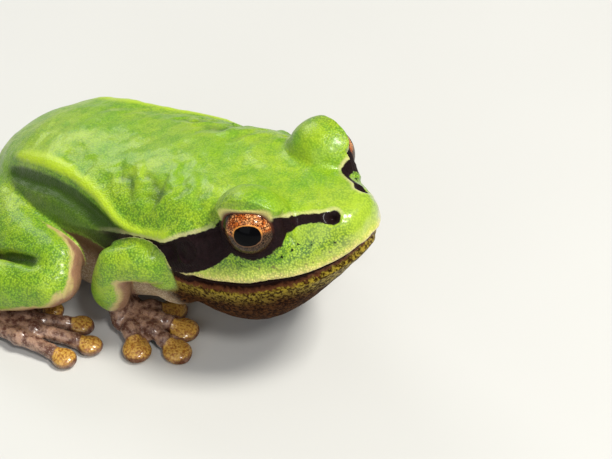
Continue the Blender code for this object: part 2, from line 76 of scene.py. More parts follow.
# Each station: distance back from the snout tip, top height, then (half width, height) of the canthus,
# cheek, upper lip, jaw and throat, and the height of the chin
HEAD = (
    (0.0, 2.05, (0.7, 1.95), (1.0, 1.5), (0.8, 0.95), (0.55, 0.68), (0.35, 0.55), 0.5),
    (0.35, 2.75, (1.2, 2.5), (1.65, 1.8), (1.35, 0.7), (1.05, 0.2), (0.7, -0.05), -0.15),
    (1.0, 3.2, (1.5, 2.95), (2.28, 2.0), (2.3, 0.35), (1.95, -0.35), (1.25, -0.85), -1.05),
    (1.9, 3.45, (1.85, 3.2), (2.8, 2.1), (3.4, 0.1), (3.1, -0.8), (2.05, -1.6), -1.9),
    (3.2, 3.6, (2.35, 3.35), (3.4, 2.15), (4.65, -0.1), (4.35, -1.1), (3.0, -2.6), -3.05),
    (4.8, 3.75, (3.0, 3.5), (4.2, 2.1), (5.7, -0.2), (5.4, -1.4), (3.95, -3.75), -4.35),
    (6.6, 3.95, (3.8, 3.7), (5.1, 2.1), (6.55, -0.3), (6.35, -1.65), (4.75, -4.75), -5.45),
    (9.0, 4.2, (4.3, 3.9), (6.0, 2.3), (7.1, -0.25), (6.95, -1.85), (5.3, -5.05), -5.95),
    (11.5, 4.4, (4.7, 4.0), (6.6, 2.4), (7.25, -0.15), (7.05, -2.0), (5.4, -4.7), -5.5),
    (14.5, 4.4, (4.9, 3.9), (6.4, 2.2), (6.8, -0.2), (6.5, -2.05), (5.0, -4.2), -4.9),
)
LIP_DROP = 0.35  # the line of the mouth lies this far below the upper lip
MOUTH_CORNER = 11.2  # distance back from the snout tip
MOUTH_FRONT = 0.2  # first place read on the line of the mouth
HEAD_RINGS = 60
CROWDING = 1.5  # power by which the head's rings draw together at the snout
EYE_RADIUS = 2.05
EYE_CENTRE = Vector((-6.45, 4.5, 3.1))  # of the left eye, in the head's frame
EYE_FORWARD = math.radians(15)
DOME_RADII = (2.97, 2.7, 2.916)  # of the swelling round each eye: ahead, across and up
NOSTRIL = Vector((-1.6, 1.75, 2.95))
TYMPANUM = Vector((-11.0, 6.85, 1.4))
TYMPANUM_RADIUS = 0.9
SHOULDER_MASS = Vector((7.6, 5.0, 7.6))
SHOULDER_RADII = (3.0, 2.2, 3.4)

# Limbs, as stations: centre with y counted outwards, half width across, half depth
RIGHT_LIMBS = {
    "upper_arm": ((8.2, 5.0, 8.0, 1.8, 2.0), (6.5, 7.2, 8.6, 1.45, 1.55), (4.7, 8.2, 8.2, 1.25, 1.3)),
    "forearm": ((4.6, 8.4, 7.7, 1.25, 1.25), (4.1, 8.1, 5.3, 1.4, 1.5), (3.0, 6.6, 2.6, 1.0, 1.0)),
    "hand": ((2.9, 6.5, 2.3, 1.0, 0.9), (3.2, 6.2, 1.5, 1.5, 0.9), (4.0, 6.1, 0.95, 1.7, 0.65)),
    "thigh": ((-9.6, 3.2, 4.0, 2.5, 2.6), (-4.6, 7.6, 4.6, 2.7, 2.8), (-0.3, 8.9, 6.0, 1.9, 2.0)),
    "shank": ((0.3, 10.6, 5.3, 1.65, 1.7), (-3.6, 11.7, 3.9, 1.9, 2.0), (-12.4, 11.2, 2.1, 1.2, 1.3)),
    "ankle": ((-12.4, 12.2, 1.5, 1.2, 1.25), (-9.4, 13.6, 1.3, 1.1, 1.1), (-6.4, 13.9, 1.15, 1.2, 0.95)),
    "foot": ((-6.3, 13.9, 1.1, 1.2, 0.9), (-4.9, 13.5, 0.95, 1.6, 0.8), (-3.5, 12.9, 0.8, 1.6, 0.65)),
}
LEFT_LIMBS = {
    "upper_arm": ((8.2, 5.0, 8.0, 1.8, 2.0), (6.0, 7.3, 7.8, 1.45, 1.55), (3.8, 8.6, 6.8, 1.25, 1.3)),
    "forearm": ((3.6, 8.9, 6.0, 1.25, 1.25), (3.9, 8.9, 4.2, 1.4, 1.5), (4.7, 8.3, 2.2, 1.0, 1.0)),
    "hand": ((4.7, 8.3, 1.9, 1.0, 0.9), (5.4, 8.4, 1.35, 1.6, 0.85), (6.4, 8.6, 0.95, 1.7, 0.65)),
    "thigh": ((-9.6, 3.2, 3.9, 2.5, 2.6), (-4.8, 7.0, 4.0, 2.7, 2.7), (-0.9, 7.9, 3.9, 1.9, 1.9)),
    "shank": ((-0.6, 9.0, 2.9, 1.7, 1.8), (-4.2, 9.3, 2.6, 1.9, 2.0), (-11.6, 8.4, 1.8, 1.15, 1.2)),
    "ankle": ((-11.6, 9.6, 1.4, 1.15, 1.2), (-8.8, 11.0, 1.25, 1.05, 1.05), (-5.9, 11.9, 1.1, 1.15, 0.9)),
    "foot": ((-5.8, 11.9, 1.05, 1.15, 0.85), (-4.4, 12.0, 0.95, 1.55, 0.78), (-2.8, 11.9, 0.8, 1.55, 0.65)),
}
LIMBS = {RIGHT: RIGHT_LIMBS, LEFT: LEFT_LIMBS}

# Digits, inner one first: length from the root in the palm or sole, and degrees outwards from straight ahead
PALM_ROOT = {RIGHT: Vector((3.3, 6.1, 1.0)), LEFT: Vector((5.6, 8.4, 1.0))}
FINGERS = {
    RIGHT: ((3.6, -48), (4.7, -20), (5.5, 4), (3.7, 34)),
    LEFT: ((3.8, -30), (4.8, -2), (5.7, 24), (4.6, 56)),
}
SOLE_ROOT = {RIGHT: Vector((-5.6, 13.7, 1.0)), LEFT: Vector((-5.0, 12.0, 1.0))}
TOES = {
    RIGHT: ((4.4, -66), (6.4, -48), (8.6, -35), (9.7, -23), (8.5, -11)),
    LEFT: ((4.4, -50), (6.4, -32), (8.6, -18), (10.0, -6), (8.8, 7)),
}
DIGIT_RADIUS = 0.56
DIGIT_SHARES = ((1.25, 1.1), (1.0, 1.0), (0.9, 0.8))  # of it, across and deep, at root, knuckle and tip
DIGIT_REACH = 0.8  # how far from its axis a digit's colours begin to fade
DIGIT_START_HEIGHT = 0.9
DIGIT_END_RISE = 0.1
DIGIT_ARCH = 0.15
KNUCKLE_PLACE = 0.55
KNUCKLE_RADII = (0.864, 0.72, 0.72)
FINGER_DISC = (1.2, 1.1, 0.62)
TOE_DISC = (1.0, 0.92, 0.55)
DISC_HEIGHT = 0.48
SWELLING_PLACE = 1.15  # behind each disc, as a share of its length
SWELLING_RADIUS = 0.62
PAW_PARTS = ("finger", "toe", "hand", "foot")
KNEE = {RIGHT: Vector((0.5, 9.9, 5.4)), LEFT: Vector((-0.5, 8.5, 3.5))}
KNEE_RADII = (1.75, 1.9, 1.75)
WEB_REACH = (0.5, 0.6, 0.62, 0.62)  # of the web's edge, as shares of the shorter toe beside it
WEB_DIP = 0.3
WEB_THICKNESS = 0.5
WEB_HEIGHT = 0.8
WEB_START = 0.15
WEB_ROWS = 12

# The dark stripe, as points with its reach above and below them and its strength. The parts ahead of the eye
# and behind it are in the head's frame, and the part on the trunk is in the body's
STRIPE_AHEAD = (
    (-1.55, 1.75, 3.0, 0.52, 0.56, 1.0),
    (-2.2, 2.15, 3.06, 0.36, 0.38, 1.0),
    (-3.0, 2.5, 3.1, 0.3, 0.36, 1.0),
    (-3.6, 3.0, 3.14, 0.38, 0.4, 1.0),
    (-3.9, 3.8, 3.2, 0.66, 0.6, 1.0),
    (-4.2, 4.85, 3.2, 1.1, 1.25, 1.0),
)
STRIPE_BEHIND = (
    (-7.6, 5.7, 3.1, 0.7, 1.3, 1.0),
    (-8.5, 6.0, 2.4, 0.95, 1.3, 1.0),
    (-9.7, 6.5, 1.6, 1.25, 1.35, 1.0),
    (-11.0, 6.9, 1.1, 1.35, 1.3, 1.0),
    (-12.5, 7.0, 0.7, 1.2, 1.25, 1.0),
)
STRIPE_TRUNK = (
    (7.5, 7.1, 9.9, 1.05, 1.25, 1.0),
    (5.6, 7.2, 9.6, 0.8, 1.2, 1.0),
    (3.2, 7.3, 9.1, 0.6, 1.0, 0.8),
    (1.0, 7.3, 8.6, 0.4, 0.6, 0.4),
    (-1.5, 7.1, 7.9, 0.3, 0.4, 0.15),
    (-5.0, 6.5, 6.9, 0.25, 0.35, 0.12),
    (-9.0, 5.3, 5.8, 0.2, 0.3, 0.12),
)
RUMP_DROP = 3.6  # how much further down the green of the back reaches at the rump

# Folds of loose skin: the edge of the back, the fold over the eardrum in the head's frame, and hollows in
# the side, whose points carry a half width and a depth
BACK_EDGE = ((9.6, 6.1, 12.6), (8.2, 6.6, 11.5), (5.0, 6.8, 10.5), (2.1, 6.2, 10.7), (-0.6, 5.4, 10.6),
             (-3.8, 4.8, 10.1), (-5.9, 4.6, 9.5), (-8.1, 4.2, 8.6), (-10.4, 3.4, 7.3))
EAR_FOLD = ((-8.4, 5.9, 3.5), (-10.0, 6.2, 3.2), (-11.8, 6.6, 2.8), (-13.0, 6.9, 1.8), (-14.0, 7.1, 0.6))
HOLLOWS = (
    ((0.6, 3.0, 12.0, 0.4, 0.05), (2.9, 4.4, 12.2, 0.6, 0.2), (4.4, 5.6, 11.8, 0.8, 0.14)),
    ((3.3, 2.4, 12.9, 0.5, 0.05), (4.9, 3.9, 12.95, 0.85, 0.18), (6.5, 5.2, 12.6, 0.9, 0.16)),
    ((5.9, 1.7, 13.6, 0.35, 0.05), (7.2, 3.2, 13.8, 0.45, 0.14), (8.3, 4.6, 13.5, 0.6, 0.12)),
    ((8.2, 2.4, 14.3, 0.35, 0.04), (9.0, 3.6, 14.2, 0.5, 0.1), (9.9, 4.9, 13.7, 0.6, 0.1)),
    ((-6.5, 2.0, 11.2, 0.6, 0.04), (-3.5, 3.6, 11.3, 0.9, 0.12), (-1.0, 4.6, 11.2, 0.8, 0.08)),
)
HOLLOW_WARP = 0.55

# Forms worked into the skin, as humps: middle, half width, and how far the skin moves out. A hollow's are
# shares of its half width and depth
MOUTH_GROOVE = ((0, 0.14, -0.36),)
LIP_RIDGES = ((0.38, 0.26, 0.13), (-0.42, 0.34, -0.3), (-1.05, 0.3, 0.07))
NOSTRIL_FORM = ((0, 0.36, -0.55), (0.68, 0.2, 0.05))
TYMPANUM_RIM = ((TYMPANUM_RADIUS, 0.13, 0.1),)
TYMPANUM_DIP = 0.08
KNEE_FOLD = ((0, 1.3, 0.12), (0, 0.42, -0.6))
BACK_ROLL = ((0.1, 0.38, 0.32), (-0.85, 0.6, -0.5))
HOLLOW_FORM = ((0, 1.0, -1.0), (1.9, 0.6, 0.3))
GRAIN = ((1.6, 0.05), (0.8, 0.03), (0.42, 0.018))  # sizes of the skin's fine unevenness, and its heights

# Camera, set so that this animal falls in the frame as a real one does in a close shot
CAMERA_AZIMUTH = math.radians(38)
CAMERA_HEIGHT = math.radians(42)
CAMERA_DISTANCE = 180.0
FRAME_WIDTH, FRAME_HEIGHT = 612, 459
PIXELS_PER_MM = 14.0
ANCHOR = Vector((9.5, 0.0, 10.5))  # this point of the animal falls on the pixel below
ANCHOR_PIXEL = (239, 206)
SENSOR = 36.0
CLIP_START = 0.01  # metres

# Lids, as shares of the eyeball's radius ahead, up and down from its axis, and the direction of the pupil
LID_WIDE = 0.93
LID_HIGH = 0.87
LID_LOW = 0.7
LID_SQUARENESS = 2.4
LID_LOW_SQUARENESS = 1.9
LID_RIM = 0.2  # how far the lids' rim stands out from the eyeball
BROW = 0.12  # and how much further at the upper lid
LID_INSET = 0.25  # depth of the lids' inner wall below the eyeball's surface
LID_REACH = 1.6  # lids shape the skin this many widths of their opening from its middle
EYE_REACH = 3.6  # and this far from the eye's centre
GAZE_FORWARD = math.radians(27)
GAZE_UP = math.radians(11)
PUPIL_WIDE = 0.47
PUPIL_HIGH = 0.37

VOXEL = 0.13
PAW_EASING = 14  # rounds of smoothing of the hands and feet
SKIN_EASING = 3  # and then of the whole skin
FAR_AWAY = 1e3
BALL_SIDES = 36
BALL_RINGS = 20
POLE_GAP = 0.15  # share of a ring left out at each pole, where a flat face closes the ball
CAP_ANGLES = (8, 22, 36, 50, 64, 78)  # of the rings that round off a limb's ends

# Lights: name, place, size, power and colour
LIGHTS = (
    ("key", (179, 67, 381), 95, 1.75, (1.0, 0.97, 0.9)),
    ("glint", (235, -130, 340), 60, 0.6, (1.0, 0.98, 0.94)),
    ("fill", (60, -380, 200), 300, 0.32, (0.92, 0.96, 1.0)),
    ("rim", (-300, 120, 200), 160, 0.3, (1.0, 1.0, 1.0)),
)
LIGHT_TARGET = Vector((3, 0, 6))
SKY_COLOUR = (0.9, 0.94, 1.0, 1)
SKY_STRENGTH = 0.22

# Colours as linear red, green and blue. A pair is mixed by a pattern
LEAF_GREENS = ((0.23, 0.43, 0.008), (0.33, 0.5, 0.014))
MOSS_GREEN = (0.15, 0.35, 0.006)
SNOUT_GREEN = (0.43, 0.58, 0.03)
# painted highlight on the tops of the skin's beads
BEAD_HIGHLIGHT_GREEN = (0.44, 0.62, 0.045)
# painted shade in the gaps between the skin's beads
GAP_SHADE_GREEN = (0.034, 0.12, 0.003)
# painted shade in the hollows of the skin's folds
GROOVE_SHADE_GREEN = (0.022, 0.06, 0.006)
# painted highlight on the ridges of the skin's folds
RIDGE_HIGHLIGHT_GREEN = (0.5, 0.68, 0.02)
SHADE_GREEN = (0.04, 0.085, 0.004)
FLECK_GREEN = (0.012, 0.02, 0.004)
OLIVES = ((0.036, 0.016, 0.003), (0.34, 0.25, 0.016))
RUSSETS = ((0.012, 0.004, 0.002), (0.075, 0.028, 0.007))
FLANKS = ((0.03, 0.026, 0.006), (0.14, 0.07, 0.036))
# the pale belly on its beads, with painted shade in the gaps between them
PALE_BELLY_AND_GAP_SHADE = ((0.62, 0.52, 0.36), (0.36, 0.26, 0.16))
LEG_EDGES = ((0.5, 0.46, 0.12), (0.6, 0.42, 0.22))
LEG_PINKS = ((0.2, 0.085, 0.045), (0.44, 0.26, 0.15))
UPPER_LIPS = ((0.54, 0.6, 0.1), (0.84, 0.66, 0.24))
# painted shade just under the upper lip, then the lower lip's own russet
LIP_SHADOW_AND_RUSSET = ((0.012, 0.003, 0.002), (0.12, 0.04, 0.016))
MOUTH_LINE = (0.03, 0.008, 0.005)
CREAMS = ((0.64, 0.62, 0.2), (0.7, 0.62, 0.34))
STRIPE_BROWNS = ((0.004, 0.002, 0.002), (0.02, 0.008, 0.009))
LID_EDGE = (0.76, 0.7, 0.2)
LID_WALLS = ((0.016, 0.006, 0.004), (0.11, 0.03, 0.012))
PAW_BROWNS = ((0.11, 0.044, 0.028), (0.4, 0.235, 0.155))
# painted highlight on the tops of the beads of hands and feet
PAW_BEAD_HIGHLIGHT = (0.56, 0.4, 0.25)
DISC_GOLDS = ((0.32, 0.11, 0.012), (0.64, 0.37, 0.065))
# painted shade in the crease behind each disc
DISC_CREASE_SHADE = (0.11, 0.03, 0.01)
IRIS_COPPERS = ((0.5, 0.115, 0.018), (0.8, 0.36, 0.13))
IRIS_VEIN = (0.05, 0.012, 0.005)
IRIS_LOW = ((0.016, 0.008, 0.004), (0.105, 0.055, 0.026))
PUPIL_RIMS = ((0.2, 0.1, 0.05), (0.8, 0.34, 0.07))
EYE_EDGE = (0.016, 0.007, 0.006)
PUPIL_BLACK = (0.0015, 0.0015, 0.002)
FLOOR_GREYS = ((0.6, 0.6, 0.58), (0.64, 0.64, 0.62))


def ramp(low, high, values):
    """0 at low, 1 at high, and a smooth rise between them."""
    t = np.clip((np.asarray(values, float) - low) / (high - low), 0, 1)
    return t * t * (3 - 2 * t)


def hump(values, middle, width):
    """1 at the middle, falling away within the width."""
    return np.exp(-(((np.asarray(values, float) - middle) / width) ** 2))


def humps(values, rows):
    """Sum of humps, each given by its middle, its half width and its amount."""
    return sum(amount * hump(values, middle, width) for middle, width, amount in rows)


def tapered(share, start, end):
    """1 along a line, falling smoothly to 0 before its start share and past its end share."""
    return ramp(0, start, share) * ramp(1, end, share)


def smooth_rows(rows, knots, places):
    """Rows of numbers at the knots, read as one smooth curve at the places."""
    rows, knots = np.array(rows, float), np.array(knots, float)
    spans = np.diff(knots)[:, None]
    steps = np.diff(rows, axis=0) / spans
    inner = (steps[:-1] * spans[1:] + steps[1:] * spans[:-1]) / (spans[:-1] + spans[1:])
    slopes = np.vstack([steps[:1], inner, steps[-1:]])
    made = []
    for place in places:
        k = int(np.clip(np.searchsorted(knots, place) - 1, 0, len(knots) - 2))
        width = knots[k + 1] - knots[k]
        t = (place - knots[k]) / width
        made.append((2 * t**3 - 3 * t**2 + 1) * rows[k] + (t**3 - 2 * t**2 + t) * width * slopes[k]
                    + (3 * t**2 - 2 * t**3) * rows[k + 1] + (t**3 - t**2) * width * slopes[k + 1])
    return np.array(made)


def run_lengths(points):
    """How far each point lies from the first, along the line through them."""
    return np.concatenate([[0], np.cumsum(np.linalg.norm(np.diff(points, axis=0), axis=1))])


def spaced(rows, count):
    """Rows that start with x, y, z, read at count places spread evenly along their curve."""
    rows = np.array(rows, float)
    knots = run_lengths(rows[:, :3])
    return smooth_rows(rows, knots, np.linspace(0, knots[-1], count))


def spaced_loop(points, count):
    """Count points spread evenly on the closed curve whose points overlap by two before and three after."""
    flat = np.array(points, float)
    knots = run_lengths(flat)
    return smooth_rows(flat, knots, np.linspace(knots[2], knots[-3], count, endpoint=False))


def crowded(start, end):
    """Places from start to end that draw together near the start."""
    return np.linspace(0, 1, HEAD_RINGS) ** CROWDING * (end - start) + start


def on_side(point, side):
    return Vector((point[0], point[1] * side, point[2]))


def rows_on_side(rows, side):
    """Rows that start with x, y, z, with y counted outwards, put on one side of the animal."""
    return [(*on_side(row, side), *row[3:]) for row in rows]


def gap_to(points, place):
    return np.linalg.norm(points - np.array(place), axis=1)


def head_matrix():
    """Carries the head's own frame into the body's, in millimetres."""
    turn = Matrix.Rotation(HEAD_YAW, 4, "Z") @ Matrix.Rotation(-HEAD_PITCH, 4, "Y")
    return Matrix.Translation(NECK) @ turn @ Matrix.Translation((HEAD_LENGTH, 0, 0))


HEAD_TO_BODY = head_matrix()


def eye_place(side):
    return HEAD_TO_BODY @ on_side(EYE_CENTRE, side)


class Solids:
    """Closed lofts gathered as one list of corners and faces, in millimetres."""

    def __init__(self):
        self.points = []
        self.faces = []

    def loft(self, rings, matrix=Matrix.Identity(4)):
        start = len(self.points)
        size = len(rings[0])
        for ring in rings:
            self.points += [tuple(matrix @ Vector(point)) for point in ring]
        for k in range(len(rings) - 1):
            low = start + k * size
            for j in range(size):
                after = (j + 1) % size
                self.faces.append((low + j, low + after, low + size + after, low + size + j))
        last = start + (len(rings) - 1) * size
        self.faces.append(tuple(range(start + size - 1, start - 1, -1)))
        self.faces.append(tuple(range(last, last + size)))

    def ellipsoid(self, centre, radii, turn=Matrix.Identity(4)):
        matrix = Matrix.Translation(Vector(centre)) @ turn @ Matrix.Diagonal((*radii, 1))
        turns = [2 * math.pi * j / BALL_SIDES for j in range(BALL_SIDES)]
        sections = []
        for k in range(BALL_RINGS + 1):
            lean = math.pi * (k + POLE_GAP) / (BALL_RINGS + 2 * POLE_GAP)
            share, rise = math.sin(lean), -math.cos(lean)
            sections.append([(share * math.cos(t), share * math.sin(t), rise) for t in turns])
        self.loft(sections, matrix)

    def limb(self, stations, sides=32, rings=24):
        """A round-ended tube along the stations, each x, y, z, a half width and a half depth."""
        rows = spaced(stations, rings)
        centres = [Vector(row[:3]) for row in rows]
        run = (centres[-1] - centres[0]).normalized()
        upward = Vector((1, 0, 0)) if abs(run.z) > 0.8 else Vector((0, 0, 1))
        sections = []
        for k, row in enumerate(rows):
            ahead = (centres[min(k + 1, rings - 1)] - centres[max(k - 1, 0)]).normalized()
            side = ahead.cross(upward).normalized()
            sections.append((centres[k], ahead, side, side.cross(ahead), row[3], row[4]))
        caps = [math.radians(angle) for angle in CAP_ANGLES]
        placed = [(sections[0], math.sin(a), -math.cos(a)) for a in caps]
        placed += [(section, 1, 0) for section in sections]
        placed += [(sections[-1], math.sin(a), math.cos(a)) for a in reversed(caps)]
        made = []
        for (centre, ahead, side, over, across, deep), share, beyond in placed:
            middle = centre + ahead * beyond * min(across, deep)
            ring = []
            for k in range(sides):
                t = 2 * math.pi * k / sides
                sideways = side * across * share * math.cos(t)
                ring.append(middle + sideways + over * deep * share * math.sin(t))
            made.append(ring)
        self.loft(made)


def head_rows(places):
    """Head stations read as smooth numbers at distances back from the snout tip."""
    rows = [[top, *np.ravel(pairs), chin] for _, top, *pairs, chin in HEAD]
    return smooth_rows(rows, [row[0] for row in HEAD], places)


def add_trunk(solids):
    places = np.linspace(TRUNK[0][0], TRUNK[-1][0], TRUNK_RINGS)
    rows = smooth_rows([row[1:] for row in TRUNK], [row[0] for row in TRUNK], places)
    power = 2 / TRUNK_SQUARENESS
    rings = []
    for x, (middle, width, above, below) in zip(places, rows):
        ring = []
        for k in range(RING_POINTS):
            turn = 2 * math.pi * k / RING_POINTS
            side, rise = math.cos(turn), math.sin(turn)
            y = width * math.copysign(abs(side) ** power, side)
            z = (above if rise > 0 else below) * math.copysign(abs(rise) ** power, rise)
            ring.append((x, y, middle + z))
        rings.append(ring)
    solids.loft(rings)


def add_head(solids):
    places = crowded(0, HEAD[-1][0])
    rings = []
    for back, row in zip(places, head_rows(places)):
        half = [(0, row[0])] + [tuple(row[k : k + 2]) for k in (1, 3, 5, 7, 9)] + [(0, row[11])]
        around = half + [(-y, z) for y, z in half[-2:0:-1]]
        even = spaced_loop(around[-2:] + around + around[:3], RING_POINTS)
        rings.append([(-back, y, z) for y, z in even])
    solids.loft(rings, HEAD_TO_BODY)
    for side in SIDES:
        solids.ellipsoid(eye_place(side), DOME_RADII, HEAD_TO_BODY.to_3x3().to_4x4())
        solids.ellipsoid(on_side(SHOULDER_MASS, side), SHOULDER_RADII)


def level_way(degrees, side):
    """The level direction that lies so many degrees outwards from straight ahead."""
    angle = math.radians(degrees) * side
    return Vector((math.cos(angle), math.sin(angle), 0))


def digit_stations(root, length, degrees, side):
    """The tube of a finger or toe, the places of its knuckle and disc, and its turn."""
    ahead = level_way(degrees, side)
    start = Vector((root.x, root.y, DIGIT_START_HEIGHT))
    middle = start + ahead * length * KNUCKLE_PLACE + Vector((0, 0, DIGIT_ARCH))
    tip = Vector((root.x, root.y, DISC_HEIGHT + DIGIT_END_RISE)) + ahead * length
    sizes = [(DIGIT_RADIUS * across, DIGIT_RADIUS * deep) for across, deep in DIGIT_SHARES]
    stations = [(*place, *size) for place, size in zip((start, middle, tip), sizes)]
    return stations, middle, tip, Matrix.Rotation(math.radians(degrees) * side, 4, "Z")


def add_web(solids, root, toe, next_toe, reach, side):
    """The membrane between two toes, with a hollow free edge."""
    root = Vector((root.x, root.y, WEB_HEIGHT))
    reach *= min(toe[0], next_toe[0])
    first, last = (level_way(degrees, side) for _, degrees in (toe, next_toe))
    lift = Vector((0, 0, WEB_THICKNESS / 2))
    rings = []
    for u in np.linspace(0, 1, WEB_ROWS):
        span = reach * (1 - WEB_DIP * 4 * u * (1 - u))
        way = first.lerp(last, float(u))
        row = [root + way * span * share for share in np.linspace(WEB_START, 1, WEB_ROWS)]
        rings.append([point + lift for point in row] + [point - lift for point in reversed(row)])
    solids.loft(rings)


def add_paws(solids, side):
    for roots, digits, disc in ((PALM_ROOT, FINGERS, FINGER_DISC), (SOLE_ROOT, TOES, TOE_DISC)):
        root = on_side(roots[side], side)
        for length, degrees in digits[side]:
            stations, middle, tip, turn = digit_stations(root, length, degrees, side)
            solids.limb(stations, sides=24, rings=16)
            solids.ellipsoid(middle, KNUCKLE_RADII, turn)
            solids.ellipsoid((tip.x, tip.y, DISC_HEIGHT), disc, turn)
            behind = tip + (middle - tip).normalized() * disc[0] * SWELLING_PLACE
            solids.ellipsoid(behind, [SWELLING_RADIUS * disc[1]] * 3, turn)
    root = on_side(SOLE_ROOT[side], side)
    for toe, next_toe, reach in zip(TOES[side], TOES[side][1:], WEB_REACH):
        add_web(solids, root, toe, next_toe, reach, side)


def mesh_of(name, points, faces):
    """A mesh object from points in millimetres."""
    mesh = bpy.data.meshes.new(name)
    mesh.from_pydata([tuple(c * MM for c in point) for point in points], [], faces)
    mesh.update()
    obj = bpy.data.objects.new(name, mesh)
    bpy.context.scene.collection.objects.link(obj)
    return obj


def apply_modifiers(obj):
    graph = bpy.context.evaluated_depsgraph_get()
    made = bpy.data.meshes.new_from_object(obj.evaluated_get(graph))
    obj.modifiers.clear()
    obj.data = made


def read_rows(items, name, width, kind=np.float32):
    """One property of all items of a mesh, as rows of the width."""
    flat = np.empty(len(items) * width, kind)
    items.foreach_get(name, flat)
    return flat.reshape(-1, width)


def read_points(mesh):
    return read_rows(mesh.vertices, "co", 3).astype(float) / MM


def write_points(mesh, points):
    mesh.vertices.foreach_set("co", (points * MM).astype(np.float32).ravel())
    mesh.update()


def read_normals(mesh):
    return read_rows(mesh.vertex_normals, "vector", 3).astype(float)


def eased(mesh, points, weight, rounds):
    """Points drawn towards the mean of their neighbours, each by its own weight."""
    edges = read_rows(mesh.edges, "vertices", 2, np.int32)
    total = len(points)
    near = np.bincount(edges[:, 0], minlength=total) + np.bincount(edges[:, 1], minlength=total)
    near = np.maximum(near, 1)
    for _ in range(rounds):
        mean = np.empty_like(points)
        for axis in range(3):
            line = points[:, axis]
            mean[:, axis] = np.bincount(edges[:, 0], line[edges[:, 1]], total)
            mean[:, axis] += np.bincount(edges[:, 1], line[edges[:, 0]], total)
        points = points + (mean / near[:, None] - points) * weight[:, None]
    return points


def noise(points, size, seed):
    """Smooth noise from -1 to 1, with features of about the size in millimetres."""
    where = points / size + 100.0 + seed * 17.3
    cell = np.floor(where).astype(np.int64)
    part = where - cell
    part = part * part * (3 - 2 * part)
    value = np.zeros(len(points))
    for corner in range(8):
        step = np.array([corner & 1, corner >> 1 & 1, corner >> 2 & 1])
        index = cell + step
        mixed = index[:, 0] * 73856093 ^ index[:, 1] * 19349663 ^ index[:, 2] * 83492791
        mixed = (mixed ^ mixed >> 13) * 1274126177 & 0xFFFFFFFF
        level = (mixed ^ mixed >> 16) % 65536 / 32767.5 - 1
        share = np.where(step, part, 1 - part).prod(axis=1)
        value += level * share
    return value


def along(points, rows, reach=60.0):
    """Nearest place on a line of rows that start with x, y, z: distance, row values there, and share.

    Points further than the reach from the line's box are left far away.
    """
    rows = np.array(rows, float)
    best = np.full(len(points), FAR_AWAY)
    values = np.tile(rows[0], (len(points), 1))
    share = np.zeros(len(points))
    low, high = rows[:, :3].min(axis=0) - reach, rows[:, :3].max(axis=0) + reach
    inside = np.flatnonzero(((points > low) & (points < high)).all(axis=1))
    spots = points[inside]
    for k in range(len(rows) - 1):
        run = rows[k + 1, :3] - rows[k, :3]
        t = np.clip(((spots - rows[k, :3]) @ run) / (run @ run), 0, 1)
        here = rows[k] * (1 - t[:, None]) + rows[k + 1] * t[:, None]
        gap = np.linalg.norm(spots - here[:, :3], axis=1)
        near = gap < best[inside]
        chosen = inside[near]
        best[chosen] = gap[near]
        values[chosen] = here[near]
        share[chosen] = (k + t[near]) / (len(rows) - 1)
    return best, values, share


def skin_solids():
    solids = Solids()
    add_trunk(solids)
    add_head(solids)
    for side in SIDES:
        for stations in LIMBS[side].values():
            solids.limb(rows_on_side(stations, side))
        solids.ellipsoid(on_side(KNEE[side], side), KNEE_RADII)
        add_paws(solids, side)
    return solids


def largest_shell(mesh):
    """Deletes all but the largest connected surface."""
    work = bmesh.new()
    work.from_mesh(mesh)
    left, shells = set(work.verts), []
    while left:
        reached = [left.pop()]
        for vert in reached:
            found = {edge.other_vert(vert) for edge in vert.link_edges} & left
            left -= found
            reached += found
        shells.append(reached)
    shells.sort(key=len)
    bmesh.ops.delete(work, geom=[vert for shell in shells[:-1] for vert in shell], context="VERTS")
    work.to_mesh(mesh)
    work.free()


def refine(mesh, chosen):
    """Halves the grid of the mesh where both ends of an edge are chosen."""
    work = bmesh.new()
    work.from_mesh(mesh)
    work.verts.ensure_lookup_table()
    edges = [edge for edge in work.edges if chosen[edge.verts[0].index] and chosen[edge.verts[1].index]]
    bmesh.ops.subdivide_edges(work, edges=edges, cuts=1, use_grid_fill=True)
    bmesh.ops.triangulate(work, faces=[face for face in work.faces if len(face.verts) > 4])
    work.to_mesh(mesh)
    work.free()


def in_head_frame(points):
    """Points in the head's own frame, with y counted outwards on both sides."""
    inverse = np.array(HEAD_TO_BODY.inverted())
    local = points @ inverse[:3, :3].T + inverse[:3, 3]
    local[:, 1] = np.abs(local[:, 1])
    return local


def eye_measures(local):
    """Distance from the eye's centre, place in the lids' opening (1 = its rim), and the way up and out."""
    gaze = np.array([math.sin(EYE_FORWARD), math.cos(EYE_FORWARD), 0])
    ahead = np.array([math.cos(EYE_FORWARD), -math.sin(EYE_FORWARD), 0])
    offset = local - np.array(EYE_CENTRE)
    distance = np.maximum(np.linalg.norm(offset, axis=1), 1e-6)
    way = offset / distance[:, None]
    forward, outward, upward = way @ ahead, way @ gaze, way[:, 2]
    high = np.where(upward > 0, LID_HIGH, LID_LOW)
    power = np.where(upward > 0, LID_SQUARENESS, LID_LOW_SQUARENESS)
    opening = (np.abs(forward / LID_WIDE) ** power + np.abs(upward / high) ** power) ** (1 / power)
    opening = np.where(outward > 0, opening, np.maximum(opening, LID_REACH - outward))
    return distance, opening, upward, outward


def mouth_measures(local):
    """Height above the line of the mouth, distance to it, and share of the way back to its corner."""
    back = crowded(MOUTH_FRONT, MOUTH_CORNER)
    line = [(-0.05, 0.0, HEAD[0][4][1] - LIP_DROP)]
    line += [(-s, row[5], row[6] - LIP_DROP) for s, row in zip(back, head_rows(back))]
    distance, values, _ = along(local, line)
    return local[:, 2] - values[:, 2], distance, -values[:, 0] / MOUTH_CORNER


def world_line(head_points, trunk_points, side):
    """Points given in the head's frame and then in the body's, as one line on one side of the animal."""
    rows = [(*(HEAD_TO_BODY @ on_side(row, side)), *row[3:]) for row in head_points]
    return rows + rows_on_side(trunk_points, side)


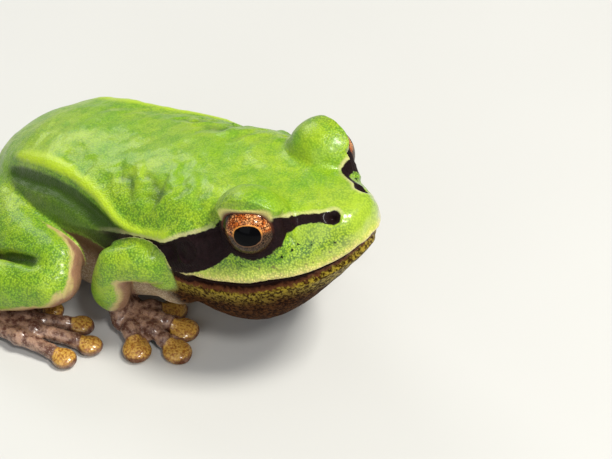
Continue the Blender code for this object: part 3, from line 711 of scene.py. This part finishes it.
def shape_face(points, normals):
    """Moves for lids, mouth, nostrils, eardrums and the fold over them."""
    local = in_head_frame(points)
    height, distance, back = mouth_measures(local)
    uneven = 0.05 * noise(points, 0.7, 5)
    lips = humps(height - uneven, MOUTH_GROOVE) + humps(height, LIP_RIDGES)
    move = lips * ramp(1.4, 0.9, distance) * ramp(1.02, 0.9, back)
    move += humps(gap_to(local, NOSTRIL), NOSTRIL_FORM)
    gap = gap_to(local, TYMPANUM)
    move += humps(gap, TYMPANUM_RIM) - TYMPANUM_DIP * ramp(TYMPANUM_RADIUS, 0.7, gap)
    gap, values, share = along(local, EAR_FOLD, 3.0)
    below = local[:, 2] - values[:, 2]
    fold = 0.2 * hump(gap, 0, 0.4) - 0.12 * hump(below, -0.6, 0.25) * hump(gap, 0.6, 0.4)
    move += fold * tapered(share, 0.12, 0.8)
    moved = points + normals * move[:, None]
    distance, opening, upward, outward = eye_measures(in_head_frame(moved))
    rim = EYE_RADIUS + LID_RIM + BROW * ramp(0.2, 0.6, upward) + 0.03 * noise(moved, 0.6, 7)
    inner = EYE_RADIUS - LID_INSET
    spread = opening * (1 + 0.6 * ramp(0.5, 0, outward) * ramp(0.3, 0.8, np.abs(upward)))
    hugging = rim + (distance - rim) * ramp(0.98, 1.28, spread)
    wanted = inner + (hugging - inner) * ramp(0.9, 1.02, opening)
    near = (distance < EYE_REACH) & (opening < LID_REACH)
    inverse = np.array(HEAD_TO_BODY.inverted())
    across = moved @ inverse[1, :3] + inverse[1, 3]
    for side in SIDES:
        centre = np.array(eye_place(side))
        here = near & (across * side > 0)
        moved[here] = centre + (moved[here] - centre) * (wanted[here] / distance[here])[:, None]
    return moved


def back_edge_measures(points, side, reach):
    """Distance to the edge of the back, height above it, and share along it."""
    line = spaced(rows_on_side(BACK_EDGE, side), 40)
    gap, values, share = along(points, line, reach)
    return gap, points[:, 2] - values[:, 2], share


def shape_body(points, normals):
    """Moves for the knees' folds, the edge of the back and the hollows; gives the points and their rise."""
    move = np.zeros(len(points))
    fields = limb_fields(points)
    wave = 0.25 * noise(points, 1.3, 9)
    for side in SIDES:
        thigh, shank = fields[side, "thigh"][0], fields[side, "shank"][0]
        folded = ramp(1.5, 0.9, np.maximum(thigh, shank))
        folded *= ramp(-0.9, -0.3, np.minimum(thigh, shank)) * ramp(0, -2.2, points[:, 0])
        move += folded * humps(thigh - shank - wave, KNEE_FOLD)
    free = ramp(0.1, 0.9, np.minimum.reduce([gap for gap, *_ in fields.values()]))
    warp = np.stack([noise(points, 0.9, seed) for seed in (11, 12, 13)], axis=1) * HOLLOW_WARP
    for side in SIDES:
        gap, offset, share = back_edge_measures(points, side, 3.0)
        move += tapered(share, 0.1, 0.8) * ramp(2.6, 1.4, gap) * free * humps(offset, BACK_ROLL)
        for hollow in HOLLOWS:
            rows = spaced(rows_on_side(hollow, side), 9)
            gap, values, share = along(points + warp, rows, 3.0)
            width, depth = values[:, 3], values[:, 4]
            groove = tapered(share, 0.1, 0.9) * depth * humps(gap / width, HOLLOW_FORM)
            move += np.where(gap < 3, groove, 0)
    return points + normals * move[:, None], move


def grain(points, normals):
    """Fine unevenness of living skin."""
    rough = sum(amount * noise(points, size, seed) for seed, (size, amount) in enumerate(GRAIN, 1))
    return points + normals * rough[:, None]


def limb_fields(points):
    """For each part of the limbs: distance to its surface, place along it, and nearest point of its axis."""
    fields = {}
    for side in SIDES:
        knee = np.array(on_side(KNEE[side], side))
        axis = np.tile(knee, (len(points), 1))
        fields[side, "knee"] = (gap_to(points, knee) - KNEE_RADII[0], np.zeros(len(points)), axis)
        for part, stations in LIMBS[side].items():
            rows = spaced(rows_on_side(stations, side), 16)
            gap, values, share = along(points, rows, 4.0)
            fields[side, part] = (gap - values[:, 3:5].mean(axis=1), share, values[:, :3])
        for part, roots, digits in (("finger", PALM_ROOT, FINGERS), ("toe", SOLE_ROOT, TOES)):
            root = on_side(roots[side], side)
            for k, (length, degrees) in enumerate(digits[side]):
                stations, _, tip, _ = digit_stations(root, length, degrees, side)
                gap, values, _ = along(points, stations, 3.0)
                fields[side, f"{part}_{k}"] = (gap - DIGIT_REACH, gap_to(points, tip), values[:, :3])
    return fields


def stripe_measures(points):
    """Signed distance to the dark stripe, share of lying on its upper side, depth below it, and strength."""
    edge, nearest = np.full((2, len(points)), 9.0)
    above, strength = np.zeros((2, len(points)))
    for side in SIDES:
        for head_part, trunk_part in ((STRIPE_AHEAD, ()), (STRIPE_BEHIND, STRIPE_TRUNK)):
            rows = spaced(world_line(head_part, trunk_part, side), 70)
            gap, values, _ = along(points, rows, 7.0)
            steepness = (points[:, 2] - values[:, 2]) / np.maximum(gap, 0.05)
            upper = ramp(-0.6, 0.6, steepness)
            reach = values[:, 3] * upper + values[:, 4] * (1 - upper)
            mine = gap < nearest
            nearest[mine] = gap[mine]
            edge[mine] = (gap - reach)[mine]
            strength[mine] = values[mine, 5]
            above[mine] = ramp(0.1, 0.7, steepness)[mine]
    trunk = np.array(STRIPE_TRUNK[::-1])
    level = np.interp(points[:, 0], trunk[:, 0], trunk[:, 2] - trunk[:, 4])
    level -= RUMP_DROP * ramp(-8.0, -11.5, points[:, 0])
    return edge, above, level - points[:, 2], strength


def granular(points, local):
    """How coarse the skin's grain is: fine on the crown and back, coarse on the cheeks and the sides."""
    cheek = hump(local[:, 2], 1, 1.5) * ramp(0.8, 2.2, local[:, 1])
    cheek *= ramp(-13.0, -10.0, local[:, 0])
    side = ramp(3.0, 6.0, np.abs(points[:, 1]))
    return np.clip(0.35 + 0.65 * cheek + 0.35 * side, 0, 1)


def face_detail(points, wide):
    """Which points lie on the lids, lips and nostrils, within a wide or a narrow reach."""
    local = in_head_frame(points)
    distance, opening, *_ = eye_measures(local)
    _, mouth_gap, back = mouth_measures(local)
    if wide:
        lids = (distance < 3.3) & (opening < 1.7)
        lip_reach, nostril_reach = 1.5, 1.1
    else:
        lids = (distance < 3.2) & (opening > 0.75) & (opening < 1.3)
        lip_reach, nostril_reach = 0.8, 0.9
    return lids | (mouth_gap < lip_reach) & (back < 1.05) | (gap_to(local, NOSTRIL) < nostril_reach)


def make_skin():
    solids = skin_solids()
    skin = mesh_of("skin", solids.points, solids.faces)
    remesh = skin.modifiers.new("skin", "REMESH")
    remesh.mode = "VOXEL"
    remesh.voxel_size = VOXEL * MM
    apply_modifiers(skin)
    mesh = skin.data
    largest_shell(mesh)
    points = read_points(mesh)
    fields = limb_fields(points)
    paws = np.minimum.reduce([gap for (_, part), (gap, *_) in fields.items() if part.startswith(PAW_PARTS)])
    points = eased(mesh, points, 0.5 * ramp(0, 1, paws), PAW_EASING)
    write_points(mesh, eased(mesh, points, np.full(len(points), 0.5), SKIN_EASING))
    refine(mesh, face_detail(read_points(mesh), wide=True))
    refine(mesh, face_detail(read_points(mesh), wide=False))
    points, relief = shape_body(read_points(mesh), read_normals(mesh))
    write_points(mesh, points)
    points = grain(points, read_normals(mesh))
    write_points(mesh, points)
    points = shape_face(points, read_normals(mesh))
    points[:, 2] = np.maximum(points[:, 2], 0)
    write_points(mesh, points)
    mesh.shade_smooth()
    write_measures(mesh, points, relief)
    return skin


def limb_measures(points, normals):
    """Share of lying on a limb, how far its green side faces there, and the shares of brown and of disc."""
    nearest = np.full(len(points), 0.45)
    ahead, left, up = normals.T
    green_side, outwards = np.ones((2, len(points)))
    brown, disc = np.zeros((2, len(points)))
    for (side, part), (gap, share, axis) in limb_fields(points).items():
        here = gap < nearest
        nearest[here] = gap[here]
        away = points[here] - axis[here]
        away /= np.maximum(np.linalg.norm(away, axis=1), 1e-6)[:, None]
        outwards[here] = (away * normals[here]).sum(axis=1)
        facing = 0.5 * up + 0.62 * left * side - 0.42 * ahead + 0.02
        end, earth = np.zeros((2, len(points)))
        if part.startswith(PAW_PARTS):
            facing[:], earth[:] = -0.3, 1
            if part not in ("hand", "foot"):
                size = FINGER_DISC[0] if part.startswith("finger") else TOE_DISC[0]
                end = ramp(size + 0.12, size - 0.28, share)
        elif part == "ankle":
            facing -= 0.25 * ramp(0, 0.3, share)
            earth = 0.85 * ramp(0, 0.3, share)
        elif part == "forearm":
            earth = ramp(0.55, 0.85, share)
            facing += 0.25 * ahead * ramp(0, 0.3, share) - 0.5 * earth
        elif part == "upper_arm":
            facing += 0.12
        elif part in ("knee", "thigh"):
            facing += 0.14 * ahead - 0.2 * ramp(0.1, -0.5, left * side)
        green_side[here], brown[here], disc[here] = facing[here], earth[here], end[here]
    return ramp(0.42, 0.12, nearest) * ramp(-0.1, 0.3, outwards), green_side, brown, disc


def write_measures(mesh, points, relief):
    """Measures, kept at each point, from which the material works out its markings and painted light and
    shade.
    """
    normals = read_normals(mesh)
    local = in_head_frame(points)
    edge, above, below, strength = stripe_measures(points)
    distance, opening, upward, _ = eye_measures(local)
    near_eye = (distance < EYE_REACH) & (opening < 3)
    height, mouth_gap, _ = mouth_measures(local)
    head_part = ramp(-14.5, -13.0, local[:, 0])
    on_limb, green_side, brown, disc = limb_measures(points, normals)
    edge += (1 - strength) * 0.3
    edge += (3.0 - edge) * on_limb
    rim = (opening - 1.1 + 0.16 * ramp(0.15, 0.5, upward)) * 2.0
    above *= np.where(near_eye, ramp(-0.2, 0.2, rim - edge), 1) * (1 - on_limb)
    shade = np.zeros(len(points))
    for side in SIDES:
        gap, offset, share = back_edge_measures(points, side, 6.0)
        dark = ramp(-0.25, -1, offset) * ramp(6.0, 2.5, gap) * tapered(share, 0.12, 0.85)
        shade = np.maximum(shade, dark * (1 - on_limb))
    measures = {
        "stripe": np.where(near_eye, np.minimum(edge, rim), edge),
        "strength": np.where(near_eye, 1.0, strength),
        "over": above,
        "under": np.clip(below, -3, 9) * (1 - head_part) - height * head_part,
        "lip": np.where(mouth_gap < 3.0, height, 3.0 * np.sign(height)),
        "head": head_part * (1 - on_limb),
        "limb": green_side,
        "on_limb": on_limb,
        "brown": brown,
        "disc": disc,
        "lid": np.where(near_eye, opening, 4.0),
        "shade": shade,
        "rise": np.where(near_eye, upward, 0),
        "snout": ramp(-5.0, -0.8, local[:, 0]) * (1 - on_limb),
        "relief": relief,
        "rough": granular(points, local),
    }
    for name, values in measures.items():
        layer = mesh.attributes.new(name, "FLOAT", "POINT")
        layer.data.foreach_set("value", np.asarray(values, np.float32))


class Nodes:
    """Short calls for a material's node tree."""

    def __init__(self, name):
        self.material = bpy.data.materials.new(name)
        self.material.use_nodes = True
        self.tree = self.material.node_tree
        self.shader = self.tree.nodes["Principled BSDF"]

    def new(self, kind, inputs=None, **settings):
        node = self.tree.nodes.new(kind)
        for key, value in settings.items():
            setattr(node, key, value)
        for key, value in (inputs or {}).items():
            self.put(node.inputs[key], value)
        return node

    def put(self, socket, value):
        """Links an output to the socket, or sets the socket to a number or a colour."""
        if isinstance(value, bpy.types.NodeSocket):
            self.tree.links.new(value, socket)
        elif isinstance(value, tuple) and len(value) == 3 and socket.type == "RGBA":
            socket.default_value = (*value, 1)
        else:
            socket.default_value = value

    def attribute(self, name):
        return self.new("ShaderNodeAttribute", attribute_name=name).outputs["Fac"]

    def place(self):
        return self.new("ShaderNodeTexCoord").outputs["Object"]

    def noise(self, size, detail=3.0, rough=0.5):
        """Noise from 0 to 1 with features of about the size in millimetres."""
        inputs = {"Vector": self.place(), "Scale": 1 / (size * MM), "Detail": detail, "Roughness": rough}
        return self.new("ShaderNodeTexNoise", inputs).outputs["Fac"]

    def cells(self, size, feature, where):
        """A measure of a pattern of cells of about the size in millimetres."""
        inputs = {"Vector": where, "Scale": 1 / (size * MM)}
        return self.new("ShaderNodeTexVoronoi", inputs, feature=feature).outputs["Distance"]

    def vectors(self, operation, inputs):
        return self.new("ShaderNodeVectorMath", inputs, operation=operation).outputs[0]

    def warped(self, size, amount):
        """The object's coordinates, pushed about by noise, both in millimetres."""
        inputs = {"Vector": self.place(), "Scale": 1 / (size * MM), "Detail": 1.0}
        push = self.new("ShaderNodeTexNoise", inputs).outputs["Color"]
        push = self.vectors("SUBTRACT", {0: push, 1: (0.5, 0.5, 0.5)})
        push = self.vectors("SCALE", {0: push, "Scale": amount * MM})
        return self.vectors("ADD", {0: self.place(), 1: push})

    def math(self, operation, *values):
        return self.new("ShaderNodeMath", dict(enumerate(values)), operation=operation).outputs[0]

    def times(self, first, second):
        return self.math("MULTIPLY", first, second)

    def plus(self, first, second):
        return self.math("ADD", first, second)

    def most(self, first, second):
        return self.math("MAXIMUM", first, second)

    def centred(self, noise, width):
        """Noise from 0 to 1 made into values around 0 that span the width."""
        return self.times(self.math("SUBTRACT", noise, 0.5), width)

    def step(self, value, low, high, start=0.0, end=1.0):
        """A smooth change from start to end as the value goes from low to high."""
        inputs = {"Value": value, "From Min": low, "From Max": high, "To Min": start, "To Max": end}
        return self.new("ShaderNodeMapRange", inputs, interpolation_type="SMOOTHSTEP").outputs[0]

    def mix(self, share, first, second):
        inputs = {0: share, 6: first, 7: second}
        return self.new("ShaderNodeMix", inputs, data_type="RGBA").outputs[2]

    def finished(self, inputs):
        """The material, with these inputs of its shader linked or set."""
        for name, value in inputs.items():
            self.put(self.shader.inputs[name], value)
        return self.material


def skin_patterns(n):
    """Patterns and measures that several of the skin's colours share."""
    ragged = n.centred(n.noise(0.34), 0.3)
    patch = n.noise(1.1, 4.0, rough=0.6)
    fine = n.noise(0.11, 2.0)
    grains = n.cells(0.15, "F1", n.warped(0.25, 0.1))
    under = n.plus(n.attribute("under"), ragged)
    names = ("rough", "snout", "head", "on_limb", "lip", "disc", "brown")
    read = {name: n.attribute(name) for name in names}
    return SimpleNamespace(ragged=ragged, patch=patch, fine=fine, grains=grains, under=under, **read)


def back_colour(n, p):
    """Greens of the back and limbs: patches, flecks, and painted highlights and shade on beads and folds."""
    beads = n.plus(p.grains, n.centred(p.fine, 0.5))
    green = n.mix(n.step(n.noise(4.0), 0.38, 0.62), *LEAF_GREENS)
    green = n.mix(n.step(p.patch, 0.42, 0.68, 0, 0.7), green, MOSS_GREEN)
    green = n.mix(n.times(p.snout, 0.6), green, SNOUT_GREEN)
    # painted highlight on the tops of the beads
    bead_highlight = n.times(n.step(beads, 0.34, 0.02), n.step(p.patch, 0.3, 0.6, 0.15, 0.5))
    green = n.mix(bead_highlight, green, BEAD_HIGHLIGHT_GREEN)
    # painted shade in the gaps between the beads, strongest where the skin is coarse
    gap_shade = n.times(n.step(beads, 0.34, 0.72), n.step(p.patch, 0.25, 0.55, 0.25, 0.85))
    green = n.mix(n.times(gap_shade, p.rough), green, GAP_SHADE_GREEN)
    # painted shade in the hollows of the folds, and painted highlight on their ridges
    relief = n.plus(n.attribute("relief"), n.times(p.ragged, 0.25))
    green = n.mix(n.step(relief, -0.04, -0.24, 0, 0.85), green, GROOVE_SHADE_GREEN)
    green = n.mix(n.step(relief, 0.05, 0.25, 0, 0.8), green, RIDGE_HIGHLIGHT_GREEN)
    green = n.mix(n.times(n.attribute("shade"), 0.78), green, SHADE_GREEN)
    flecks = n.times(n.step(n.noise(0.42, 2.0), 0.625, 0.66), n.step(p.rough, 0.7, 0.9))
    return n.mix(flecks, green, FLECK_GREEN)


def underside_colour(n, p):
    """The mottled throat of the head, and flank and belly of the trunk."""
    mottle = n.step(n.noise(0.26, 4.0, rough=0.7), 0.42, 0.6)
    back_of_throat = n.plus(p.under, n.times(p.patch, 1.2))
    back_of_throat = n.math("SUBTRACT", back_of_throat, p.snout)
    throat = n.mix(n.step(back_of_throat, 1.2, 3.1), n.mix(mottle, *OLIVES), n.mix(mottle, *RUSSETS))
    # pale belly beads, with painted shade in the gaps between them
    pale = n.mix(n.step(p.grains, 0.2, 0.6), *PALE_BELLY_AND_GAP_SHADE)
    belly = n.mix(n.step(p.under, 0.4, 3.4), n.mix(n.noise(0.8, 4.0), *FLANKS), pale)
    return n.mix(p.head, belly, throat)


def limb_colour(n, p, green):
    """Green above, a pale edge, and pink where a limb turns away."""
    limb = n.plus(n.attribute("limb"), n.times(p.ragged, 0.6))
    leg = n.mix(n.step(limb, 0.24, 0.02), green, n.mix(p.patch, *LEG_EDGES))
    return n.mix(n.step(limb, 0.08, -0.22), leg, n.mix(n.noise(0.7), *LEG_PINKS))


def with_mouth(n, p, colour):
    """The pale upper lip, the line of the mouth, and the russet lower lip with painted shade along that
    line.
    """
    lip = n.plus(p.lip, n.times(p.ragged, 2.2))
    above = n.times(n.step(p.lip, 0, 0.04), p.head)
    edge = n.times(n.step(lip, 1.7, 0.5), above)
    edge = n.times(edge, n.step(p.grains, 0.55, 0.25, 0.55, 1))
    colour = n.mix(edge, colour, n.mix(n.step(lip, 0.85, 0.25), *UPPER_LIPS))
    torn = n.plus(p.lip, n.centred(n.noise(0.9), 1.2))
    colour = n.mix(n.times(n.step(torn, 0.16, 0.08), above), colour, MOUTH_LINE)
    # lower lip: painted shade next to the mouth's line, then russet
    lower = n.times(n.step(p.lip, 0.03, -0.02), p.head)
    depth = n.math("SUBTRACT", lip, n.times(p.snout, 0.4))
    band = n.times(n.step(depth, -0.95, -0.72), lower)
    return n.mix(band, colour, n.mix(n.step(depth, -0.4, -0.75), *LIP_SHADOW_AND_RUSSET))


def with_stripe(n, p, colour):
    """The dark stripe with its cream line above, and the lids."""
    stripe = n.plus(n.attribute("stripe"), n.times(p.ragged, 0.8))
    strength = n.attribute("strength")
    line = n.times(n.step(stripe, 0.4, 0.12), n.attribute("over"))
    line = n.times(line, n.step(strength, 0.55, 0.95, 0, 0.8))
    colour = n.mix(line, colour, n.mix(p.patch, *CREAMS))
    dark = n.mix(n.noise(0.4), *STRIPE_BROWNS)
    colour = n.mix(n.times(n.step(stripe, 0.05, -0.05), strength), colour, dark)
    lid = n.attribute("lid")
    rise = n.attribute("rise")
    upper = n.times(n.step(lid, 1.012, 0.988), n.step(rise, 0.35, 0.55))
    colour = n.mix(upper, colour, LID_EDGE)
    return n.mix(n.step(lid, 1, 0.96), colour, n.mix(n.step(rise, -0.1, 0.3), *LID_WALLS))


def with_paws(n, p, colour):
    """Brown hands and feet, golden discs, and painted highlights on beads and shade in the discs' creases.
    """
    brown = n.mix(n.step(n.noise(0.5, 4.0), 0.36, 0.64), *PAW_BROWNS)
    # painted highlight on the tops of the beads
    brown = n.mix(n.step(p.grains, 0.4, 0.1, 0, 0.4), brown, PAW_BEAD_HIGHLIGHT)
    colour = n.mix(p.brown, colour, brown)
    gold = n.mix(n.step(n.noise(0.17), 0.34, 0.6), *DISC_GOLDS)
    colour = n.mix(n.step(p.disc, 0.4, 0.8), colour, gold)
    # painted shade in the crease behind the disc
    crease_shade = n.times(n.step(p.disc, 0.05, 0.4), n.step(p.disc, 0.9, 0.5))
    return n.mix(n.times(crease_shade, 0.6), colour, DISC_CREASE_SHADE)


def skin_material():
    n = Nodes("frog_skin")
    p = skin_patterns(n)
    green = back_colour(n, p)
    colour = n.mix(n.step(p.under, -0.12, 0.12), green, underside_colour(n, p))
    colour = n.mix(p.on_limb, colour, limb_colour(n, p, green))
    colour = with_paws(n, p, with_stripe(n, p, with_mouth(n, p, colour)))

    height = n.plus(n.times(p.grains, -1), n.times(p.fine, 0.5))
    coarse = n.times(n.step(p.rough, 0.3, 0.9, 0.45, 1), n.step(p.snout, 0.3, 0.9, 1, 0.35))
    relief = {"Strength": 0.75, "Distance": 0.07 * MM, "Height": n.times(height, coarse)}
    light = n.new("ShaderNodeRGBToBW", {"Color": colour}).outputs[0]
    wet = n.most(n.most(p.disc, p.snout), n.times(p.brown, 0.6))
    dull = n.most(n.step(p.under, 0, 0.6, 1, 0.25), p.on_limb)
    shine = n.times(n.step(light, 0, 0.16, 0.08, 0.42), dull)
    uneven = n.step(n.noise(1.1), 0.3, 0.7, 0.36, 0.5)
    gloss = n.times(n.step(light, 0, 0.14, 0.12, 1), n.step(wet, 0, 0.9, 0.28, 1))
    return n.finished({
        "Base Color": colour,
        "Normal": n.new("ShaderNodeBump", relief).outputs[0],
        "Specular IOR Level": shine,
        "Roughness": n.most(uneven, n.step(shine, 0.05, 0.3, 0.7, 0.36)),
        "Coat Weight": n.times(gloss, dull),
        "Coat Roughness": 0.18,
        "Subsurface Weight": 0.08,
        "Subsurface Radius": (0.5, 0.4, 0.1),
        "Subsurface Scale": 0.5 * MM,
    })


def eye_material():
    """Copper above and dark below around a wide pupil, under a clear coat."""
    n = Nodes("frog_eye")
    gaze = n.new("ShaderNodeAttribute", attribute_name="gaze").outputs["Vector"]
    across, upward, toward = n.new("ShaderNodeSeparateXYZ", {"Vector": gaze}).outputs
    wide = n.math("POWER", n.math("ABSOLUTE", n.math("DIVIDE", across, PUPIL_WIDE)), 2.2)
    high = n.math("POWER", n.math("ABSOLUTE", n.math("DIVIDE", upward, PUPIL_HIGH)), 2.2)
    pupil = n.math("SQRT", n.plus(wide, high))
    veins = n.cells(0.17, "DISTANCE_TO_EDGE", n.warped(0.3, 0.12))
    veins = n.plus(veins, n.times(n.noise(0.14), 0.35))
    copper = n.mix(n.step(n.noise(0.4), 0.4, 0.6), *IRIS_COPPERS)
    copper = n.mix(n.step(veins, 0.2, 0.36), IRIS_VEIN, copper)
    low = n.mix(n.step(veins, 0.34, 0.16), *IRIS_LOW)
    iris = n.mix(n.step(upward, -0.08, 0.12), low, copper)
    rim = n.mix(n.step(upward, -0.1, 0.1), *PUPIL_RIMS)
    iris = n.mix(n.step(pupil, 1.16, 1.04, 0, 0.8), iris, rim)
    iris = n.mix(n.step(toward, 0.7, 0.52), iris, EYE_EDGE)
    edge = n.plus(pupil, n.centred(n.noise(0.25), 0.12))
    return n.finished({
        "Base Color": n.mix(n.step(edge, 1.03, 0.97), iris, PUPIL_BLACK),
        "Roughness": 0.35,
        "Specular IOR Level": 0.02,
        "Coat Weight": n.step(pupil, 0.95, 1.15, 0.15, 0.5),
        "Coat IOR": 1.38,
        "Coat Roughness": 0.03,
    })


def make_eye(side, material):
    """An eyeball, with the direction of each point from its centre kept for the iris."""
    ahead = np.array([math.cos(GAZE_FORWARD), -side * math.sin(GAZE_FORWARD), 0])
    level = np.array([math.sin(GAZE_FORWARD), side * math.cos(GAZE_FORWARD), 0])
    gaze = level * math.cos(GAZE_UP) + np.array([0, 0, math.sin(GAZE_UP)])
    upward = np.array([0, 0, math.cos(GAZE_UP)]) - level * math.sin(GAZE_UP)
    turn = np.array(HEAD_TO_BODY.to_3x3())
    bpy.ops.mesh.primitive_uv_sphere_add(segments=96, ring_count=64, radius=1)
    obj = bpy.context.active_object
    obj.name = f"eyeball_{SIDES[side]}"
    unit = read_points(obj.data) * MM
    axes = np.array([ahead, upward, gaze])
    points = (unit @ axes) @ turn.T * EYE_RADIUS + np.array(eye_place(side))
    if np.linalg.det(axes) < 0:
        obj.data.flip_normals()
    write_points(obj.data, points)
    layer = obj.data.attributes.new("gaze", "FLOAT_VECTOR", "POINT")
    layer.data.foreach_set("vector", unit.astype(np.float32).ravel())
    obj.data.shade_smooth()
    obj.data.materials.append(material)
    return obj


def floor_material():
    n = Nodes("pale_floor")
    return n.finished({"Base Color": n.mix(n.noise(30.0, 2.0), *FLOOR_GREYS), "Roughness": 0.7})


def add_floor():
    bpy.ops.mesh.primitive_plane_add(size=3)
    floor = bpy.context.active_object
    floor.name = "floor"
    floor.data.materials.append(floor_material())


def camera_axes():
    a, e = CAMERA_AZIMUTH, CAMERA_HEIGHT
    back = Vector((math.sin(a) * math.cos(e), -math.cos(a) * math.cos(e), math.sin(e)))
    right = Vector((math.cos(a), math.sin(a), 0))
    return right, back.cross(right), back


def add_camera():
    right, up, back = camera_axes()
    aim = ANCHOR + right * (FRAME_WIDTH / 2 - ANCHOR_PIXEL[0]) / PIXELS_PER_MM
    aim -= up * (FRAME_HEIGHT / 2 - ANCHOR_PIXEL[1]) / PIXELS_PER_MM
    data = bpy.data.cameras.new("camera")
    data.sensor_width = SENSOR
    data.lens = SENSOR * CAMERA_DISTANCE * PIXELS_PER_MM / FRAME_WIDTH
    data.clip_start = CLIP_START
    camera = bpy.data.objects.new("camera", data)
    turn = Matrix((right, up, back)).transposed().to_4x4()
    camera.matrix_world = Matrix.Translation((aim + back * CAMERA_DISTANCE) * MM) @ turn
    bpy.context.scene.collection.objects.link(camera)
    bpy.context.scene.camera = camera


def add_light(name, place, size, power, colour):
    data = bpy.data.lights.new(name, "AREA")
    data.size = size * MM
    data.energy = power
    data.color = colour
    light = bpy.data.objects.new(name, data)
    spot = Vector(place)
    turn = (spot - LIGHT_TARGET).to_track_quat("Z", "Y").to_matrix().to_4x4()
    light.matrix_world = Matrix.Translation(spot * MM) @ turn
    bpy.context.scene.collection.objects.link(light)


def add_lights():
    for light in LIGHTS:
        add_light(*light)
    world = bpy.data.worlds.new("studio")
    world.use_nodes = True
    world.node_tree.nodes["Background"].inputs["Color"].default_value = SKY_COLOUR
    world.node_tree.nodes["Background"].inputs["Strength"].default_value = SKY_STRENGTH
    bpy.context.scene.world = world
    bpy.context.scene.view_settings.view_transform = "Standard"


def main():
    skin = make_skin()
    skin.data.materials.clear()
    skin.data.materials.append(skin_material())
    flesh = [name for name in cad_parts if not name.startswith("eye_")]
    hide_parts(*flesh)
    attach(skin, "root")
    wet = eye_material()
    for side, word in SIDES.items():
        ball = make_eye(side, wet)
        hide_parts(f"eye_{word}")
        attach(ball, "root")
    add_floor()
    add_lights()
    add_camera()


main()
